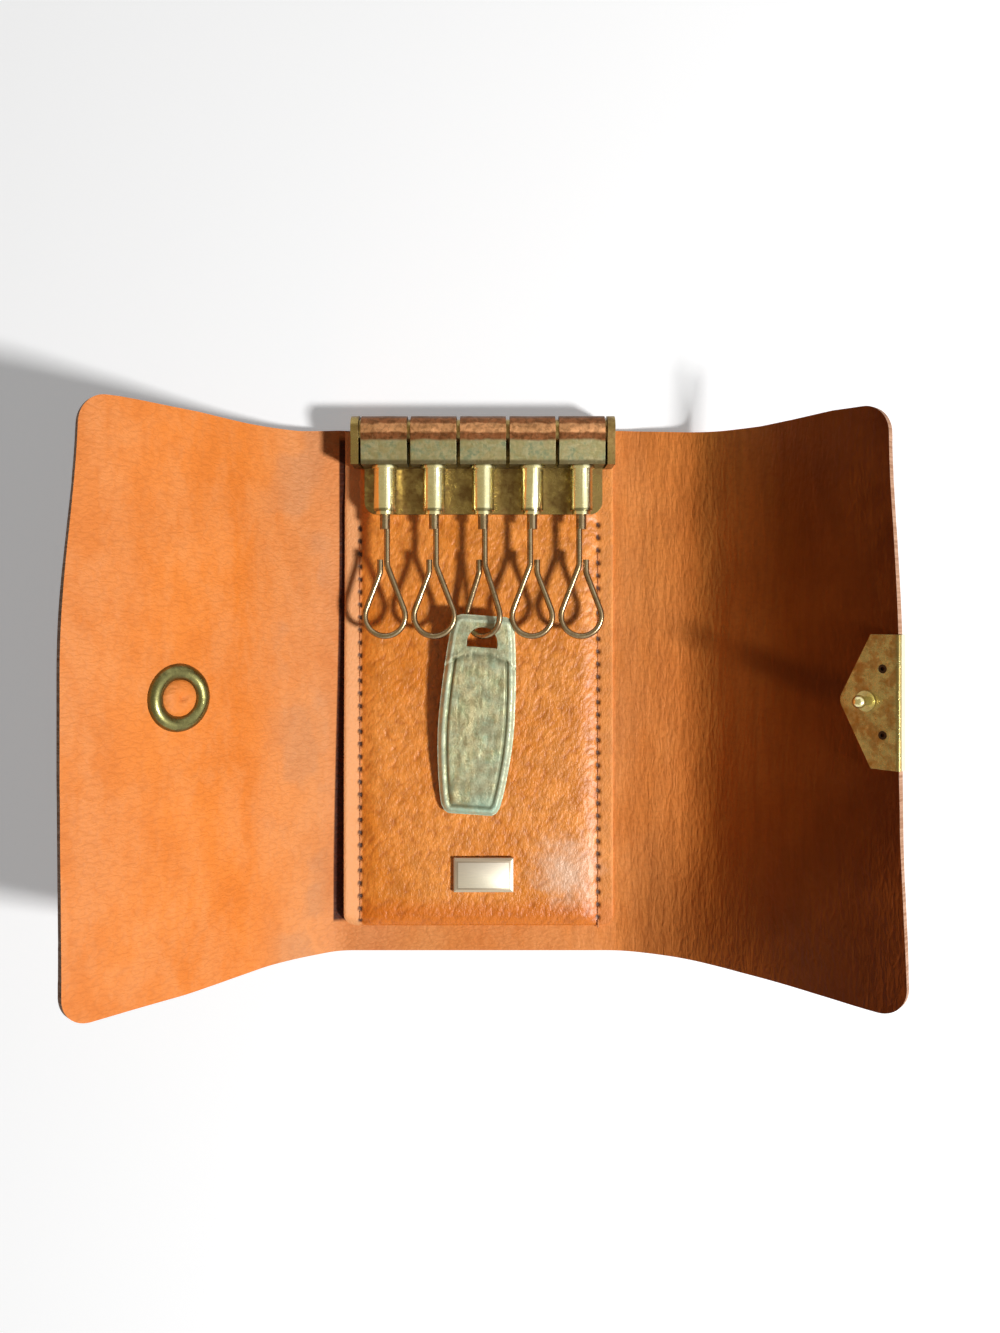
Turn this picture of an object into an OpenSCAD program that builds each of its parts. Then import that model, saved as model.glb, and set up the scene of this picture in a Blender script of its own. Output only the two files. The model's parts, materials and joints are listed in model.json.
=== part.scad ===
// A folding leather key case, lying open, with five swivel hooks on a rod and a tag on the third hook.
// +X is the right side as one looks down on the open case, +Y the end with the hooks, +Z up.
// The origin is the middle of the back's underside.

/* [Case] */
// Height of the case, along its folds
case_h = 105; // [95:1:130]
// Width of the back, between its two folds
back_w = 57; // [56:0.5:70]
// Width of the left spine strip
left_spine_w = 12.5; // [12:0.5:18]
// Width of the left cover
left_cover_w = 42.5; // [32:0.5:50]
// Height of the right cover over the left one, inside to inside, when the case is closed
cover_step = 4; // [3.9:0.05:4.1]
// Width of the right cover
right_cover_w = 40.5; // [32:0.5:44]
// Radius of the covers' free corners
cover_corner_r = 5; // [1:0.5:10]
// Thickness of the outer leather
leather_t = 0.8; // [0.5:0.05:1.2]
// Thickness of the lining
lining_t = 0.5; // [0.3:0.05:0.8]
// Gap between two sheets at a fold line
fold_gap = 0.3; // [0.2:0.05:0.6]

/* [How the case stands open] */
// Slope of the left spine over the table, in degrees
left_spine_slope = 36; // [5:1:60]
// Slope of the left cover over the table, in degrees
left_cover_slope = 48.5; // [10:0.5:80]
// Slope of the right spine over the table, in degrees
right_spine_slope = 12.5; // [5:0.5:60]
// Slope of the right cover over the table, in degrees
right_cover_slope = 49; // [10:0.5:80]

/* [Key panel] */
// Lining left bare at each side of the sewn key panel
panel_side_gap = 1.5; // [1:0.1:2.5]
// Height of the panel over the lining
panel_t = 1.8; // [1.4:0.1:2.4]
// Thickness of the panel's leather
panel_skin_t = 0.7; // [0.4:0.05:1]
// Lining left bare below the panel
panel_end_gap = 5.2; // [2:0.1:10]
// Lining left bare above the panel
panel_top_gap = 0.4; // [0.2:0.1:1]
// Radius of the panel's corners
panel_corner_r = 2.5; // [1:0.1:5]
// Height of the sewn margin
margin_t = 0.8; // [0.5:0.05:1.2]
// Width of the sewn margin, outside the raised body
margin_w = 3; // [2:0.1:5]
// Width of the slope from the margin to the raised body
slope_w = 1.6; // [0.8:0.1:3]
// Wall of the panel's leather above the stiffener's pocket
pocket_top_wall = 0.9; // [0.5:0.1:1]
// Gap between the stiffener and its pocket
pocket_gap = 0.15; // [0.1:0.05:0.3]

/* [Label plate] */
// Width of the small label plate
label_w = 12; // [8:0.1:18]
// Height of the label plate
label_h = 6.9; // [4:0.1:9]
// Thickness of the label plate
label_t = 0.9; // [0.5:0.05:1.5]
// Width of the label plate's bevel
label_bevel = 0.6; // [0.3:0.05:1]

/* [Key hardware] */
// Sideways offset of the hardware from the case's middle
hardware_x = 0.9; // [-1:0.1:1]
// Spacing of the straps
strap_pitch = 9.6; // [9.5:0.05:9.8]
// Width of a strap
strap_w = 8.9; // [7:0.1:9.2]
// Thickness of the strap's metal
strap_t = 0.6; // [0.4:0.05:0.8]
// Outer radius of the strap's roll round the rod
roll_r = 2.9; // [2.6:0.1:3.1]
// Distance from the rod to the strap's lower end
strap_len = 6.8; // [6:0.1:9]
// Half height of the strap at its lower end
strap_end_half = 2.4; // [2.2:0.05:2.5]
// Distance that the rolls stand out past the case's top edge
rod_overhang = 1.7; // [0.5:0.1:2.2]
// Height of the rod's axis over the key panel
rod_rise = 4.8; // [4.75:0.05:6]
// Running gap of round fits
running_gap = 0.05; // [0.02:0.01:0.08]
// Thickness of the mounting plate
plate_t = 0.8; // [0.5:0.05:1]
// Width of the mounting plate below its ears
plate_w = 47.5; // [44:0.5:48]
// Distance from the rod to the mounting plate's lower edge
plate_reach = 15.9; // [13:0.1:18]
// Thickness of the plate's upright ears
ear_t = 1.5; // [0.8:0.1:2]
// Gap between an ear and the outermost strap
ear_gap = 0.45; // [0.2:0.05:0.6]
// Radius of the mounting plate's lower corners
plate_corner_r = 2.5; // [1:0.1:4]

/* [Swivel hooks] */
// Radius of the barrel
barrel_r = 2.2; // [2:0.05:2.4]
// Length of the barrel, with its flange and collar
barrel_len = 9.6; // [8:0.1:12]
// Radius of the barrel's flange
flange_r = 2.6; // [2.5:0.05:3]
// Radius of the hook's shank
shank_r = 1; // [0.9:0.05:1.15]
// Length of the shank that shows below the barrel
shank_len = 2.8; // [2:0.1:4]
// Diameter of the hook's wire
wire_d = 1.15; // [1:0.05:1.2]
// Overall width of the wire loop
loop_w = 9; // [8:0.1:9.1]
// Distance from the shank to the loop's outer end
loop_len = 21.5; // [19:0.1:24]
// Slope of the loop's sides, in degrees from the barrel's axis
loop_slope = 21; // [16:0.5:24]
// Sideways place of the wire at the shank
neck_shift = 0.4; // [0.3:0.05:0.42]
// Gap between the wire and its free end
tip_gap = 0.2; // [0.1:0.05:0.3]
// Length of the free end beside the neck
tip_len = 2; // [1:0.1:3]
// Radius of the bends above the loop
bend_r = 3; // [2:0.1:4]
// Swivel of the hook that carries the tag, in degrees
tagged_turn = 34; // [32:0.5:40]

/* [Tag] */
// Length of the tag
tag_len = 41.7; // [34:0.1:46]
// Width of the tag at its widest
tag_w = 15.6; // [12:0.1:16]
// Thickness of the tag's plate
tag_t = 0.7; // [0.5:0.05:0.8]
// Height of the bevelled step on the tag's plate
tag_step_t = 0.3; // [0.15:0.05:0.4]
// Height of the tag's raised field
tag_field_t = 0.25; // [0.1:0.05:0.5]
// Width of the tag's bevelled edge
tag_bevel = 0.55; // [0.3:0.05:0.8]
// Width of the flat border round the raised field
tag_border = 0.9; // [0.5:0.05:1.5]
// Width of the tag's hole
eye_w = 5.9; // [5.5:0.1:6.5]
// Height of the tag's hole
eye_h = 4; // [3.8:0.1:4.5]
// Metal above the tag's hole
eye_bar = 2.7; // [2.5:0.05:2.8]
// Lean of the tag, in degrees
tag_lean = 4.1; // [0:0.1:6]
// Gap between the tag's low end and the key panel
tag_rest_gap = 0.3; // [0.2:0.05:0.6]

/* [Snap] */
// Distance from the right cover's free edge to the stud
stud_inset = 5.5; // [5:0.1:6.5]
// Height of the snap's middle over the case's middle
snap_y = 0.5; // [-3:0.1:3]
// Outer radius of the snap's ring
ring_r = 6.1; // [5.5:0.1:7]
// Radius of the ring's opening
ring_hole_r = 3.25; // [3.1:0.05:3.6]
// Height of the leather dome inside the ring
dome_h = 1.1; // [1:0.05:1.3]
// Radius of the leather dome
dome_r = 3; // [2.9:0.05:3.1]
// Radius of the socket's flange
socket_flange_r = 4.75; // [4.5:0.05:6]
// Radius of the socket's raised body
socket_r = 3.4; // [3.2:0.05:4]
// Height of the socket over the leather
socket_h = 1.6; // [1.5:0.05:1.7]
// Radius of the stud's ball
ball_r = 1.15; // [1:0.05:1.2]
// Radius of the stud's neck
stud_neck_r = 0.8; // [0.6:0.05:0.9]
// Height of the stud over the clasp plate
stud_h = 3.4; // [3.2:0.05:3.5]
// Radius of the stud's foot
stud_foot_r = 1.8; // [1.4:0.05:2]
// Diameter of the socket's spring wire
spring_d = 0.5; // [0.4:0.05:0.55]

/* [Clasp plate] */
// Height of the clasp plate along the cover's edge
clasp_h = 23; // [18:0.5:28]
// Depth of the clasp plate from the cover's edge
clasp_depth = 10.4; // [9:0.1:13]
// Depth of the clasp plate's straight shoulders
clasp_shoulder = 4.7; // [4:0.1:6]
// Radius of the clasp plate's tip
clasp_tip_r = 2.3; // [2:0.1:3]
// Thickness of the clasp plate's metal
clasp_t = 0.5; // [0.4:0.05:0.6]
// Gap between the clasp plate's fold and the cover's edge
clasp_gap = 0.05; // [0.03:0.01:0.2]
// Distance from the cover's edge to the clasp rivets
clasp_rivet_inset = 2.5; // [2:0.1:3.5]
// Distance of the clasp rivets from the stud, along the edge
clasp_rivet_y = 5.65; // [4:0.05:8]
// Radius of the clasp rivets
clasp_rivet_r = 0.7; // [0.5:0.05:0.9]

/* [Hidden] */
$fn = 48;

// Extra length of every cut
overrun = 1;

// Heights of the layers under the hardware
sheet_t = leather_t + lining_t;
panel_z = sheet_t + panel_t;
plate_z = panel_z + plate_t;
rod_z = panel_z + rod_rise;

// Fold lines, on the lining's upper face
fold_x = back_w / 2;
right_spine_w = left_spine_w + cover_step;

// Key panel
panel_w = back_w - 2 * panel_side_gap;
panel_bottom = -case_h / 2 + panel_end_gap;
panel_top = case_h / 2 - panel_top_gap;
panel_h = panel_top - panel_bottom;
stiffener_t = panel_t - panel_skin_t;
stiffener_half = panel_w / 2 - margin_w - slope_w;
pocket_bottom = panel_bottom + margin_w;
pocket_h = panel_top - pocket_top_wall - pocket_bottom;

// Rod, straps and plate
rod_y = case_h / 2 + rod_overhang - roll_r;
rod_r = roll_r - strap_t - running_gap;
spigot_r = rod_r / 2;
strap_end_y = rod_y - strap_len;
strap_row_w = 4 * strap_pitch + strap_w;
ear_x = strap_row_w / 2 + ear_gap;
plate_bottom = rod_y - plate_reach;
plate_back_y = rod_y - roll_r / 4;
seat_gap = 0.15;
seat_len = strap_len / 3;
rivet_r = 0.9;
rivet_head_r = 1.7;
rivet_head_t = 0.4;
rivet_y = rod_y - strap_len / 3;

// Barrels and hooks
flange_t = 0.7;
collar_step = 0.4;
collar_r = barrel_r - collar_step;
collar_t = 0.8;
barrel_end_y = strap_end_y - barrel_len;
spindle_r = 0.8;
spindle_head_r = 1.4;
spindle_head_t = 0.5;
barrel_wall = 0.6;
chamber_r = barrel_r - barrel_wall;
chamber_len = 1.8;
neck_hole_len = 1.5;
shank_head_gap = 0.1;
shank_head_r = chamber_r - shank_head_gap;
shank_head_t = 1;
shank_end_y = barrel_end_y - shank_len;
loop_r = (loop_w - wire_d) / 2;
loop_y = shank_end_y - loop_len + loop_w / 2;
tip_shift = neck_shift - wire_d - tip_gap;
hook_turns = [0, 0, tagged_turn, 180, 180];

// Tag: half widths as shares of the tag's width, at shares of its length
tag_half_shares = [
    [0, 0.238], [0.018, 0.262], [0.045, 0.296], [0.08, 0.345], [0.125, 0.39], [0.19, 0.433],
    [0.28, 0.476], [0.38, 0.497], [0.47, 0.5], [0.58, 0.491], [0.7, 0.463], [0.82, 0.42],
    [0.91, 0.382], [0.965, 0.35], [0.99, 0.318], [1, 0.27]
];
tag_x = 0.1;
tag_pivot_y = loop_y - eye_bar * 0.3;
tag_low_z = panel_z + tag_rest_gap + tag_t / 2 + tag_step_t / 2;
tag_tilt = asin((rod_z - tag_low_z) / (tag_len - eye_bar / 2));
field_top = eye_bar + eye_h + tag_border;
tag_end_y = tag_pivot_y - tag_len + eye_bar / 2;

// Label plate, halfway between the tag's low end and the panel's lower edge
label_y = (panel_bottom + tag_end_y) / 2;

// Snap: the ring lies where the stud lands when both covers are closed
ring_s = back_w - (right_cover_w - stud_inset);
ring_wire_r = (ring_r - ring_hole_r) / 2;
cup_r = 1.9;
cup_hole_r = 1.5;
cup_top = 0.38;
cup_floor_t = 0.18;
cup_clear = 0.1;
socket_flange_t = 0.5;
spring_chamber_r = 2.4;
spring_chamber_h = spring_d + 2 * running_gap;
spring_gap = 0.25;
spring_ring_r = stud_neck_r + spring_gap + spring_d / 2;
spring_turn = 300;
mouth_gap = 0.45;
mouth_r = ball_r + mouth_gap;
mouth_t = 0.2;
stud_foot_t = 0.3;

// Colours
leather_color = "sienna";
lining_color = "peru";
panel_color = "chocolate";
brass_color = "darkkhaki";
plate_color = "rosybrown";
wire_color = "khaki";
patina_color = "darkseagreen";

// A mirrored copy of the right side's frame for the left side
module at_side(side) {
    mirror([side < 0 ? 1 : 0, 0, 0]) children();
}

// x runs outwards along the spine strip from its fold line, z into the case
module spine_frame(side) {
    rise = side < 0 ? left_spine_slope : right_spine_slope;
    at_side(side) translate([fold_x, 0, sheet_t]) rotate([0, -rise, 0]) children();
}

// x runs outwards along the cover from its fold line, z into the case
module cover_frame(side) {
    spine_w = side < 0 ? left_spine_w : right_spine_w;
    turn = side < 0 ? left_cover_slope - left_spine_slope : right_cover_slope - right_spine_slope;
    spine_frame(side) translate([spine_w, 0, 0]) rotate([0, -turn, 0]) children();
}

// A strip between two fold lines, from height z up
module strip(w, z, t) {
    translate([fold_gap / 2, -case_h / 2, z]) cube([w - fold_gap, case_h, t]);
}

module cover_outline(w) {
    start = fold_gap / 2;
    translate([start, -case_h / 2]) square([w - cover_corner_r - start, case_h]);
    translate([start, -case_h / 2 + cover_corner_r])
        square([w - start, case_h - 2 * cover_corner_r]);
    for (end = [-1, 1])
        translate([w - cover_corner_r, end * (case_h / 2 - cover_corner_r)])
            circle(r = cover_corner_r);
}

module cover_sheet(w, z, t) {
    translate([0, 0, z]) linear_extrude(t) cover_outline(w);
}

// Places on the covers
module at_ring() {
    cover_frame(-1) translate([ring_s, snap_y, 0]) children();
}

module at_stud() {
    cover_frame(1) translate([right_cover_w - stud_inset, snap_y, 0]) children();
}

module clasp_rivet_places() {
    for (end = [-1, 1])
        translate([right_cover_w - clasp_rivet_inset, snap_y + end * clasp_rivet_y, 0]) children();
}

module clasp_rivet_holes() {
    clasp_rivet_places()
        translate([0, 0, -sheet_t - clasp_t - overrun])
            cylinder(r = clasp_rivet_r + running_gap, h = sheet_t + 2 * (clasp_t + overrun));
}

module back_leather() {
    color(leather_color)
        translate([-fold_x, 0, 0]) strip(back_w, 0, leather_t);
}

module back_lining() {
    color(lining_color)
        translate([-fold_x, 0, 0]) strip(back_w, leather_t, lining_t);
}

module spine_sheet(side, w, z, t) {
    spine_frame(side) strip(w, z, t);
}

module left_spine_leather() {
    color(leather_color) spine_sheet(-1, left_spine_w, -sheet_t, leather_t);
}

module left_spine_lining() {
    color(lining_color) spine_sheet(-1, left_spine_w, -lining_t, lining_t);
}

module right_spine_leather() {
    color(leather_color) spine_sheet(1, right_spine_w, -sheet_t, leather_t);
}

module right_spine_lining() {
    color(lining_color) spine_sheet(1, right_spine_w, -lining_t, lining_t);
}

module left_cover_leather() {
    color(leather_color) difference() {
        cover_frame(-1) cover_sheet(left_cover_w, -sheet_t, leather_t);
        at_ring() translate([0, 0, -sheet_t - overrun])
            cylinder(r = cup_r + cup_clear, h = leather_t + 2 * overrun);
    }
}

// The lining rises in a small dome over the socket's cup
module left_cover_lining() {
    ball = (dome_r * dome_r + dome_h * dome_h) / (2 * dome_h);
    color(lining_color) difference() {
        union() {
            cover_frame(-1) cover_sheet(left_cover_w, -lining_t, lining_t);
            at_ring() intersection() {
                translate([0, 0, dome_h - ball]) sphere(r = ball);
                translate([0, 0, -lining_t / 2]) cylinder(r = dome_r, h = dome_h + lining_t);
            }
        }
        at_ring() translate([0, 0, -lining_t - overrun])
            cylinder(r = cup_r + cup_clear, h = lining_t + overrun + cup_top + cup_clear);
    }
}

module right_cover_leather() {
    color(leather_color) cover_frame(1) difference() {
        cover_sheet(right_cover_w, -sheet_t, leather_t);
        clasp_rivet_holes();
    }
}

module right_cover_lining() {
    color(lining_color) cover_frame(1) difference() {
        cover_sheet(right_cover_w, -lining_t, lining_t);
        clasp_rivet_holes();
    }
}

module panel_outline() {
    half = panel_w / 2;
    translate([-half, panel_bottom + panel_corner_r])
        square([panel_w, panel_h - 2 * panel_corner_r]);
    translate([-half + panel_corner_r, panel_bottom])
        square([panel_w - 2 * panel_corner_r, panel_h]);
    for (side = [-1, 1], y = [panel_bottom + panel_corner_r, panel_top - panel_corner_r])
        translate([side * (half - panel_corner_r), y]) circle(r = panel_corner_r);
}

// The panel's cross-section: a flat sewn margin, a slope and the raised body
module panel_section() {
    half = panel_w / 2;
    polygon([
        [-half, 0], [half, 0], [half, margin_t], [half - margin_w, margin_t],
        [half - margin_w - slope_w, panel_t], [-half + margin_w + slope_w, panel_t],
        [-half + margin_w, margin_t], [-half, margin_t]
    ]);
}

module rivet_places() {
    for (side = [-1, 1])
        translate([hardware_x + side * strap_pitch, rivet_y, 0]) children();
}

module rivet_holes() {
    rivet_places() translate([0, 0, sheet_t - overrun])
        cylinder(r = rivet_r + running_gap, h = panel_t + plate_t + 2 * overrun);
}

module key_panel() {
    color(panel_color) difference() {
        intersection() {
            translate([0, panel_bottom - overrun, sheet_t])
                rotate([90, 0, 180]) mirror([1, 0, 0])
                    linear_extrude(panel_h + 2 * overrun) panel_section();
            translate([0, 0, sheet_t - overrun]) linear_extrude(panel_t + 2 * overrun) panel_outline();
        }
        translate([-stiffener_half, pocket_bottom, sheet_t - overrun])
            cube([2 * stiffener_half, pocket_h, stiffener_t + overrun]);
        rivet_holes();
    }
}

module panel_stiffener() {
    inner = stiffener_half - pocket_gap;
    color("wheat") difference() {
        translate([-inner, pocket_bottom + pocket_gap, sheet_t])
            cube([2 * inner, pocket_h - 2 * pocket_gap, stiffener_t]);
        rivet_holes();
        rivet_places() translate([0, 0, sheet_t - overrun])
            cylinder(r = rivet_head_r + pocket_gap, h = rivet_head_t + pocket_gap + overrun);
    }
}

module label_plate() {
    color("silver")
        translate([hardware_x, label_y, panel_z]) hull() {
            translate([-label_w / 2, -label_h / 2, 0]) cube([label_w, label_h, label_t - label_bevel / 2]);
            translate([-label_w / 2 + label_bevel, -label_h / 2 + label_bevel, 0])
                cube([label_w - 2 * label_bevel, label_h - 2 * label_bevel, label_t]);
        }
}

// Side view of a strap's outside: a roll round the rod and two faces that draw together
module strap_side(r, end_half, end) {
    circle(r = r);
    polygon([[0, r], [-end, end_half], [-end, -end_half], [0, -r]]);
}

// Turns a side view in y and z into a slab w wide, centred on x
module side_slab(w) {
    rotate([90, 0, 90]) translate([0, 0, -w / 2]) linear_extrude(w) children();
}

module at_strap(n) {
    translate([hardware_x + (n - 3) * strap_pitch, rod_y, rod_z]) children();
}

module strap(n) {
    color(brass_color) at_strap(n) difference() {
        side_slab(strap_w) strap_side(roll_r, strap_end_half, strap_len);
        side_slab(strap_w + 2 * overrun)
            strap_side(roll_r - strap_t, strap_end_half - strap_t, strap_len - strap_t);
        translate([0, -strap_len + strap_t + overrun, 0]) rotate([90, 0, 0])
            cylinder(r = spindle_r + running_gap, h = strap_t + 2 * overrun);
    }
}

// Half section of a barrel, its axis along the drawing's y and its top at zero
module barrel_section() {
    low = -barrel_len;
    chamber_low = low + neck_hole_len;
    chamber_top = chamber_low + chamber_len;
    hole = shank_r + running_gap;
    polygon([
        [hole, low], [collar_r, low], [collar_r, low + collar_t], [barrel_r, low + collar_t],
        [barrel_r, -flange_t], [flange_r, -flange_t], [flange_r, 0], [spindle_r, 0],
        [spindle_r, strap_t], [spindle_head_r, strap_t], [spindle_head_r, strap_t + spindle_head_t],
        [0, strap_t + spindle_head_t], [0, chamber_top], [chamber_r, chamber_top],
        [chamber_r, chamber_low], [hole, chamber_low]
    ]);
}

module barrel(n) {
    color(wire_color) at_strap(n) translate([0, -strap_len, 0])
        rotate([-90, 0, 0]) rotate_extrude() barrel_section();
}

// The shank's half section, with the head that the barrel holds
module shank_section() {
    head_low = neck_hole_len + running_gap * 2;
    polygon([
        [0, -shank_len], [shank_r, -shank_len], [shank_r, head_low], [shank_head_r, head_low],
        [shank_head_r, head_low + shank_head_t], [0, head_low + shank_head_t]
    ]);
}

// A straight wire from the point a to the point b
module wire_run(a, b) {
    step = b - a;
    translate([a.x, a.y, 0]) rotate([0, 0, atan2(step.y, step.x)]) rotate([0, 90, 0])
        cylinder(r = wire_d / 2, h = norm(step));
}

// A wire bend round the point c, from the angle start on by turn degrees
module wire_bend(c, r, start, turn) {
    translate([c.x, c.y, 0]) rotate([0, 0, start])
        rotate_extrude(angle = turn) translate([r, 0]) circle(r = wire_d / 2);
}

// The teardrop loop, in the plane of x and y, with its bottom arc round the origin's x
module wire_loop() {
    away = [cos(loop_slope), sin(loop_slope)];
    up_left = [-sin(loop_slope), cos(loop_slope)];
    arc = [0, loop_y - barrel_end_y];
    right_low = arc + loop_r * away;
    left_low = arc + loop_r * [-away.x, away.y];
    bend_in = bend_r * (1 - cos(loop_slope));
    right_run = (right_low.x - neck_shift - bend_in) / sin(loop_slope);
    left_run = (tip_shift - bend_in - left_low.x) / sin(loop_slope);
    right_high = right_low + right_run * up_left;
    left_high = left_low + left_run * [-up_left.x, up_left.y];
    right_bend = [neck_shift + bend_r, right_high.y + bend_r * sin(loop_slope)];
    left_bend = [tip_shift - bend_r, left_high.y + bend_r * sin(loop_slope)];
    tip = [tip_shift, left_bend.y + tip_len];
    wire_run([neck_shift, right_bend.y], [neck_shift, -shank_len]);
    wire_bend(right_bend, bend_r, 180, loop_slope);
    wire_run(right_low, right_high);
    wire_bend(arc, loop_r, 180 - loop_slope, 180 + 2 * loop_slope);
    wire_run(left_low, left_high);
    wire_bend(left_bend, bend_r, -loop_slope, loop_slope);
    wire_run([tip_shift, left_bend.y], tip);
    translate([tip.x, tip.y, 0]) sphere(r = wire_d / 2);
}

module hook(n) {
    color(wire_color) at_strap(n) translate([0, -strap_len - barrel_len, 0])
        rotate([0, -hook_turns[n - 1], 0]) union() {
            rotate([-90, 0, 0]) rotate_extrude() shank_section();
            wire_loop();
        }
}

// The ears' side view: round over the rod, and straight down to the plate
module ear_side() {
    circle(r = roll_r);
    translate([-strap_len, plate_z - rod_z]) square([strap_len, rod_z - plate_z + strap_end_half]);
    translate([-strap_len, plate_z - rod_z]) square([strap_len + roll_r, rod_z - plate_z]);
}

module mounting_plate() {
    seat_top = rod_z - strap_end_half - seat_gap;
    low_h = strap_end_y - plate_bottom;
    color(plate_color) difference() {
        union() {
            translate([hardware_x, 0, panel_z]) linear_extrude(plate_t) {
                translate([-plate_w / 2, plate_bottom + plate_corner_r])
                    square([plate_w, low_h - plate_corner_r]);
                translate([-plate_w / 2 + plate_corner_r, plate_bottom])
                    square([plate_w - 2 * plate_corner_r, low_h]);
                for (side = [-1, 1])
                    translate([side * (plate_w / 2 - plate_corner_r), plate_bottom + plate_corner_r])
                        circle(r = plate_corner_r);
                translate([-ear_x - ear_t, strap_end_y])
                    square([2 * (ear_x + ear_t), plate_back_y - strap_end_y]);
            }
            translate([hardware_x - strap_row_w / 2, strap_end_y, plate_z])
                cube([strap_row_w, seat_len, seat_top - plate_z - (roll_r - strap_end_half)]);
            for (side = [-1, 1])
                translate([hardware_x + side * (ear_x + ear_t / 2), rod_y, rod_z])
                    side_slab(ear_t) ear_side();
        }
        translate([hardware_x - ear_x - ear_t - overrun, rod_y, rod_z]) rotate([0, 90, 0])
            cylinder(r = spigot_r + running_gap, h = 2 * (ear_x + ear_t + overrun));
        rivet_holes();
    }
}

module hinge_rod() {
    color(brass_color) translate([hardware_x, rod_y, rod_z]) rotate([0, 90, 0]) {
        translate([0, 0, -ear_x]) cylinder(r = rod_r, h = 2 * ear_x);
        translate([0, 0, -ear_x - ear_t]) cylinder(r = spigot_r, h = 2 * (ear_x + ear_t));
    }
}

module plate_rivets() {
    color(brass_color) rivet_places() {
        translate([0, 0, sheet_t]) cylinder(r = rivet_head_r, h = rivet_head_t);
        translate([0, 0, sheet_t]) cylinder(r = rivet_r, h = panel_t + plate_t + rivet_head_t);
        translate([0, 0, plate_z]) cylinder(r = rivet_head_r, h = rivet_head_t);
    }
}

// The tag's outline, drawn in by a margin, from a depth below its top edge
module tag_outline(margin) {
    right = [for (p = tag_half_shares) [p[1] * tag_w - margin, -margin - p[0] * (tag_len - 2 * margin)]];
    left = [for (i = [len(right) - 1 : -1 : 0]) [-right[i].x, right[i].y]];
    polygon(concat(right, left));
}

// The hole: straight below, round above
module eye_outline() {
    r = eye_w / 2;
    translate([0, -eye_bar - r]) circle(r = r);
    translate([-r, -eye_bar - eye_h]) square([eye_w, eye_h - r]);
}

module eye_round_part() {
    translate([-eye_w, -eye_bar - eye_h]) square([2 * eye_w, eye_h]);
}

// The raised field's arched top edge
module field_area() {
    arch_r = tag_w;
    translate([0, -field_top - arch_r]) circle(r = arch_r);
    translate([-tag_w, -tag_len - overrun]) square([2 * tag_w, tag_len - field_top - arch_r / 2]);
}

module tag_frame() {
    translate([hardware_x + tag_x, tag_pivot_y, rod_z]) rotate([tag_tilt, 0, 0])
        rotate([0, 0, -tag_lean]) translate([0, eye_bar / 2, 0]) children();
}

module tag() {
    low = -(tag_t + tag_step_t) / 2;
    color(patina_color) tag_frame() difference() {
        union() {
            translate([0, 0, low]) linear_extrude(tag_t) tag_outline(0);
            translate([0, 0, low]) linear_extrude(tag_t + tag_step_t) tag_outline(tag_bevel);
            translate([0, 0, low]) linear_extrude(tag_t + tag_step_t + tag_field_t) intersection() {
                tag_outline(tag_bevel + tag_border);
                field_area();
            }
        }
        translate([0, 0, low - overrun]) linear_extrude(tag_t + tag_step_t + 2 * overrun)
            intersection() {
                eye_outline();
                eye_round_part();
            }
    }
}

module snap_ring() {
    color(brass_color) at_ring() rotate_extrude()
        translate([ring_hole_r + ring_wire_r, 0]) intersection() {
            circle(r = ring_wire_r);
            translate([-ring_wire_r, 0]) square([2 * ring_wire_r, ring_wire_r]);
        }
}

// Half section of the socket, with its flange against the leather's outer face
module socket_section() {
    face = -sheet_t;
    mouth = face - socket_h;
    chamber_low = mouth + mouth_t;
    chamber_top = chamber_low + spring_chamber_h;
    ceiling = cup_top - cup_floor_t;
    polygon([
        [0, cup_top], [cup_r, cup_top], [cup_r, face], [socket_flange_r, face],
        [socket_flange_r, face - socket_flange_t], [socket_r, face - socket_flange_t],
        [socket_r, mouth], [mouth_r, mouth], [mouth_r, chamber_low], [spring_chamber_r, chamber_low],
        [spring_chamber_r, chamber_top], [cup_hole_r, chamber_top], [cup_hole_r, ceiling], [0, ceiling]
    ]);
}

module snap_socket() {
    color(brass_color) at_ring() rotate_extrude() socket_section();
}

module socket_spring() {
    z = -sheet_t - socket_h + mouth_t + spring_chamber_h / 2;
    color("silver") at_ring() translate([0, 0, z])
        rotate_extrude(angle = spring_turn) translate([spring_ring_r, 0]) circle(r = spring_d / 2);
}

// One leaf of the clasp plate, measured inwards from the cover's edge
module clasp_leaf() {
    tip = [clasp_depth - clasp_tip_r, 0];
    shoulder = [clasp_shoulder, clasp_h / 2];
    reach = shoulder - tip;
    lean = atan2(reach.y, reach.x) - acos(clasp_tip_r / norm(reach));
    touch = tip + clasp_tip_r * [cos(lean), sin(lean)];
    polygon([
        [0, shoulder.y], shoulder, touch, [touch.x, -touch.y], [shoulder.x, -shoulder.y], [0, -shoulder.y]
    ]);
    translate(tip) circle(r = clasp_tip_r);
}

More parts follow.
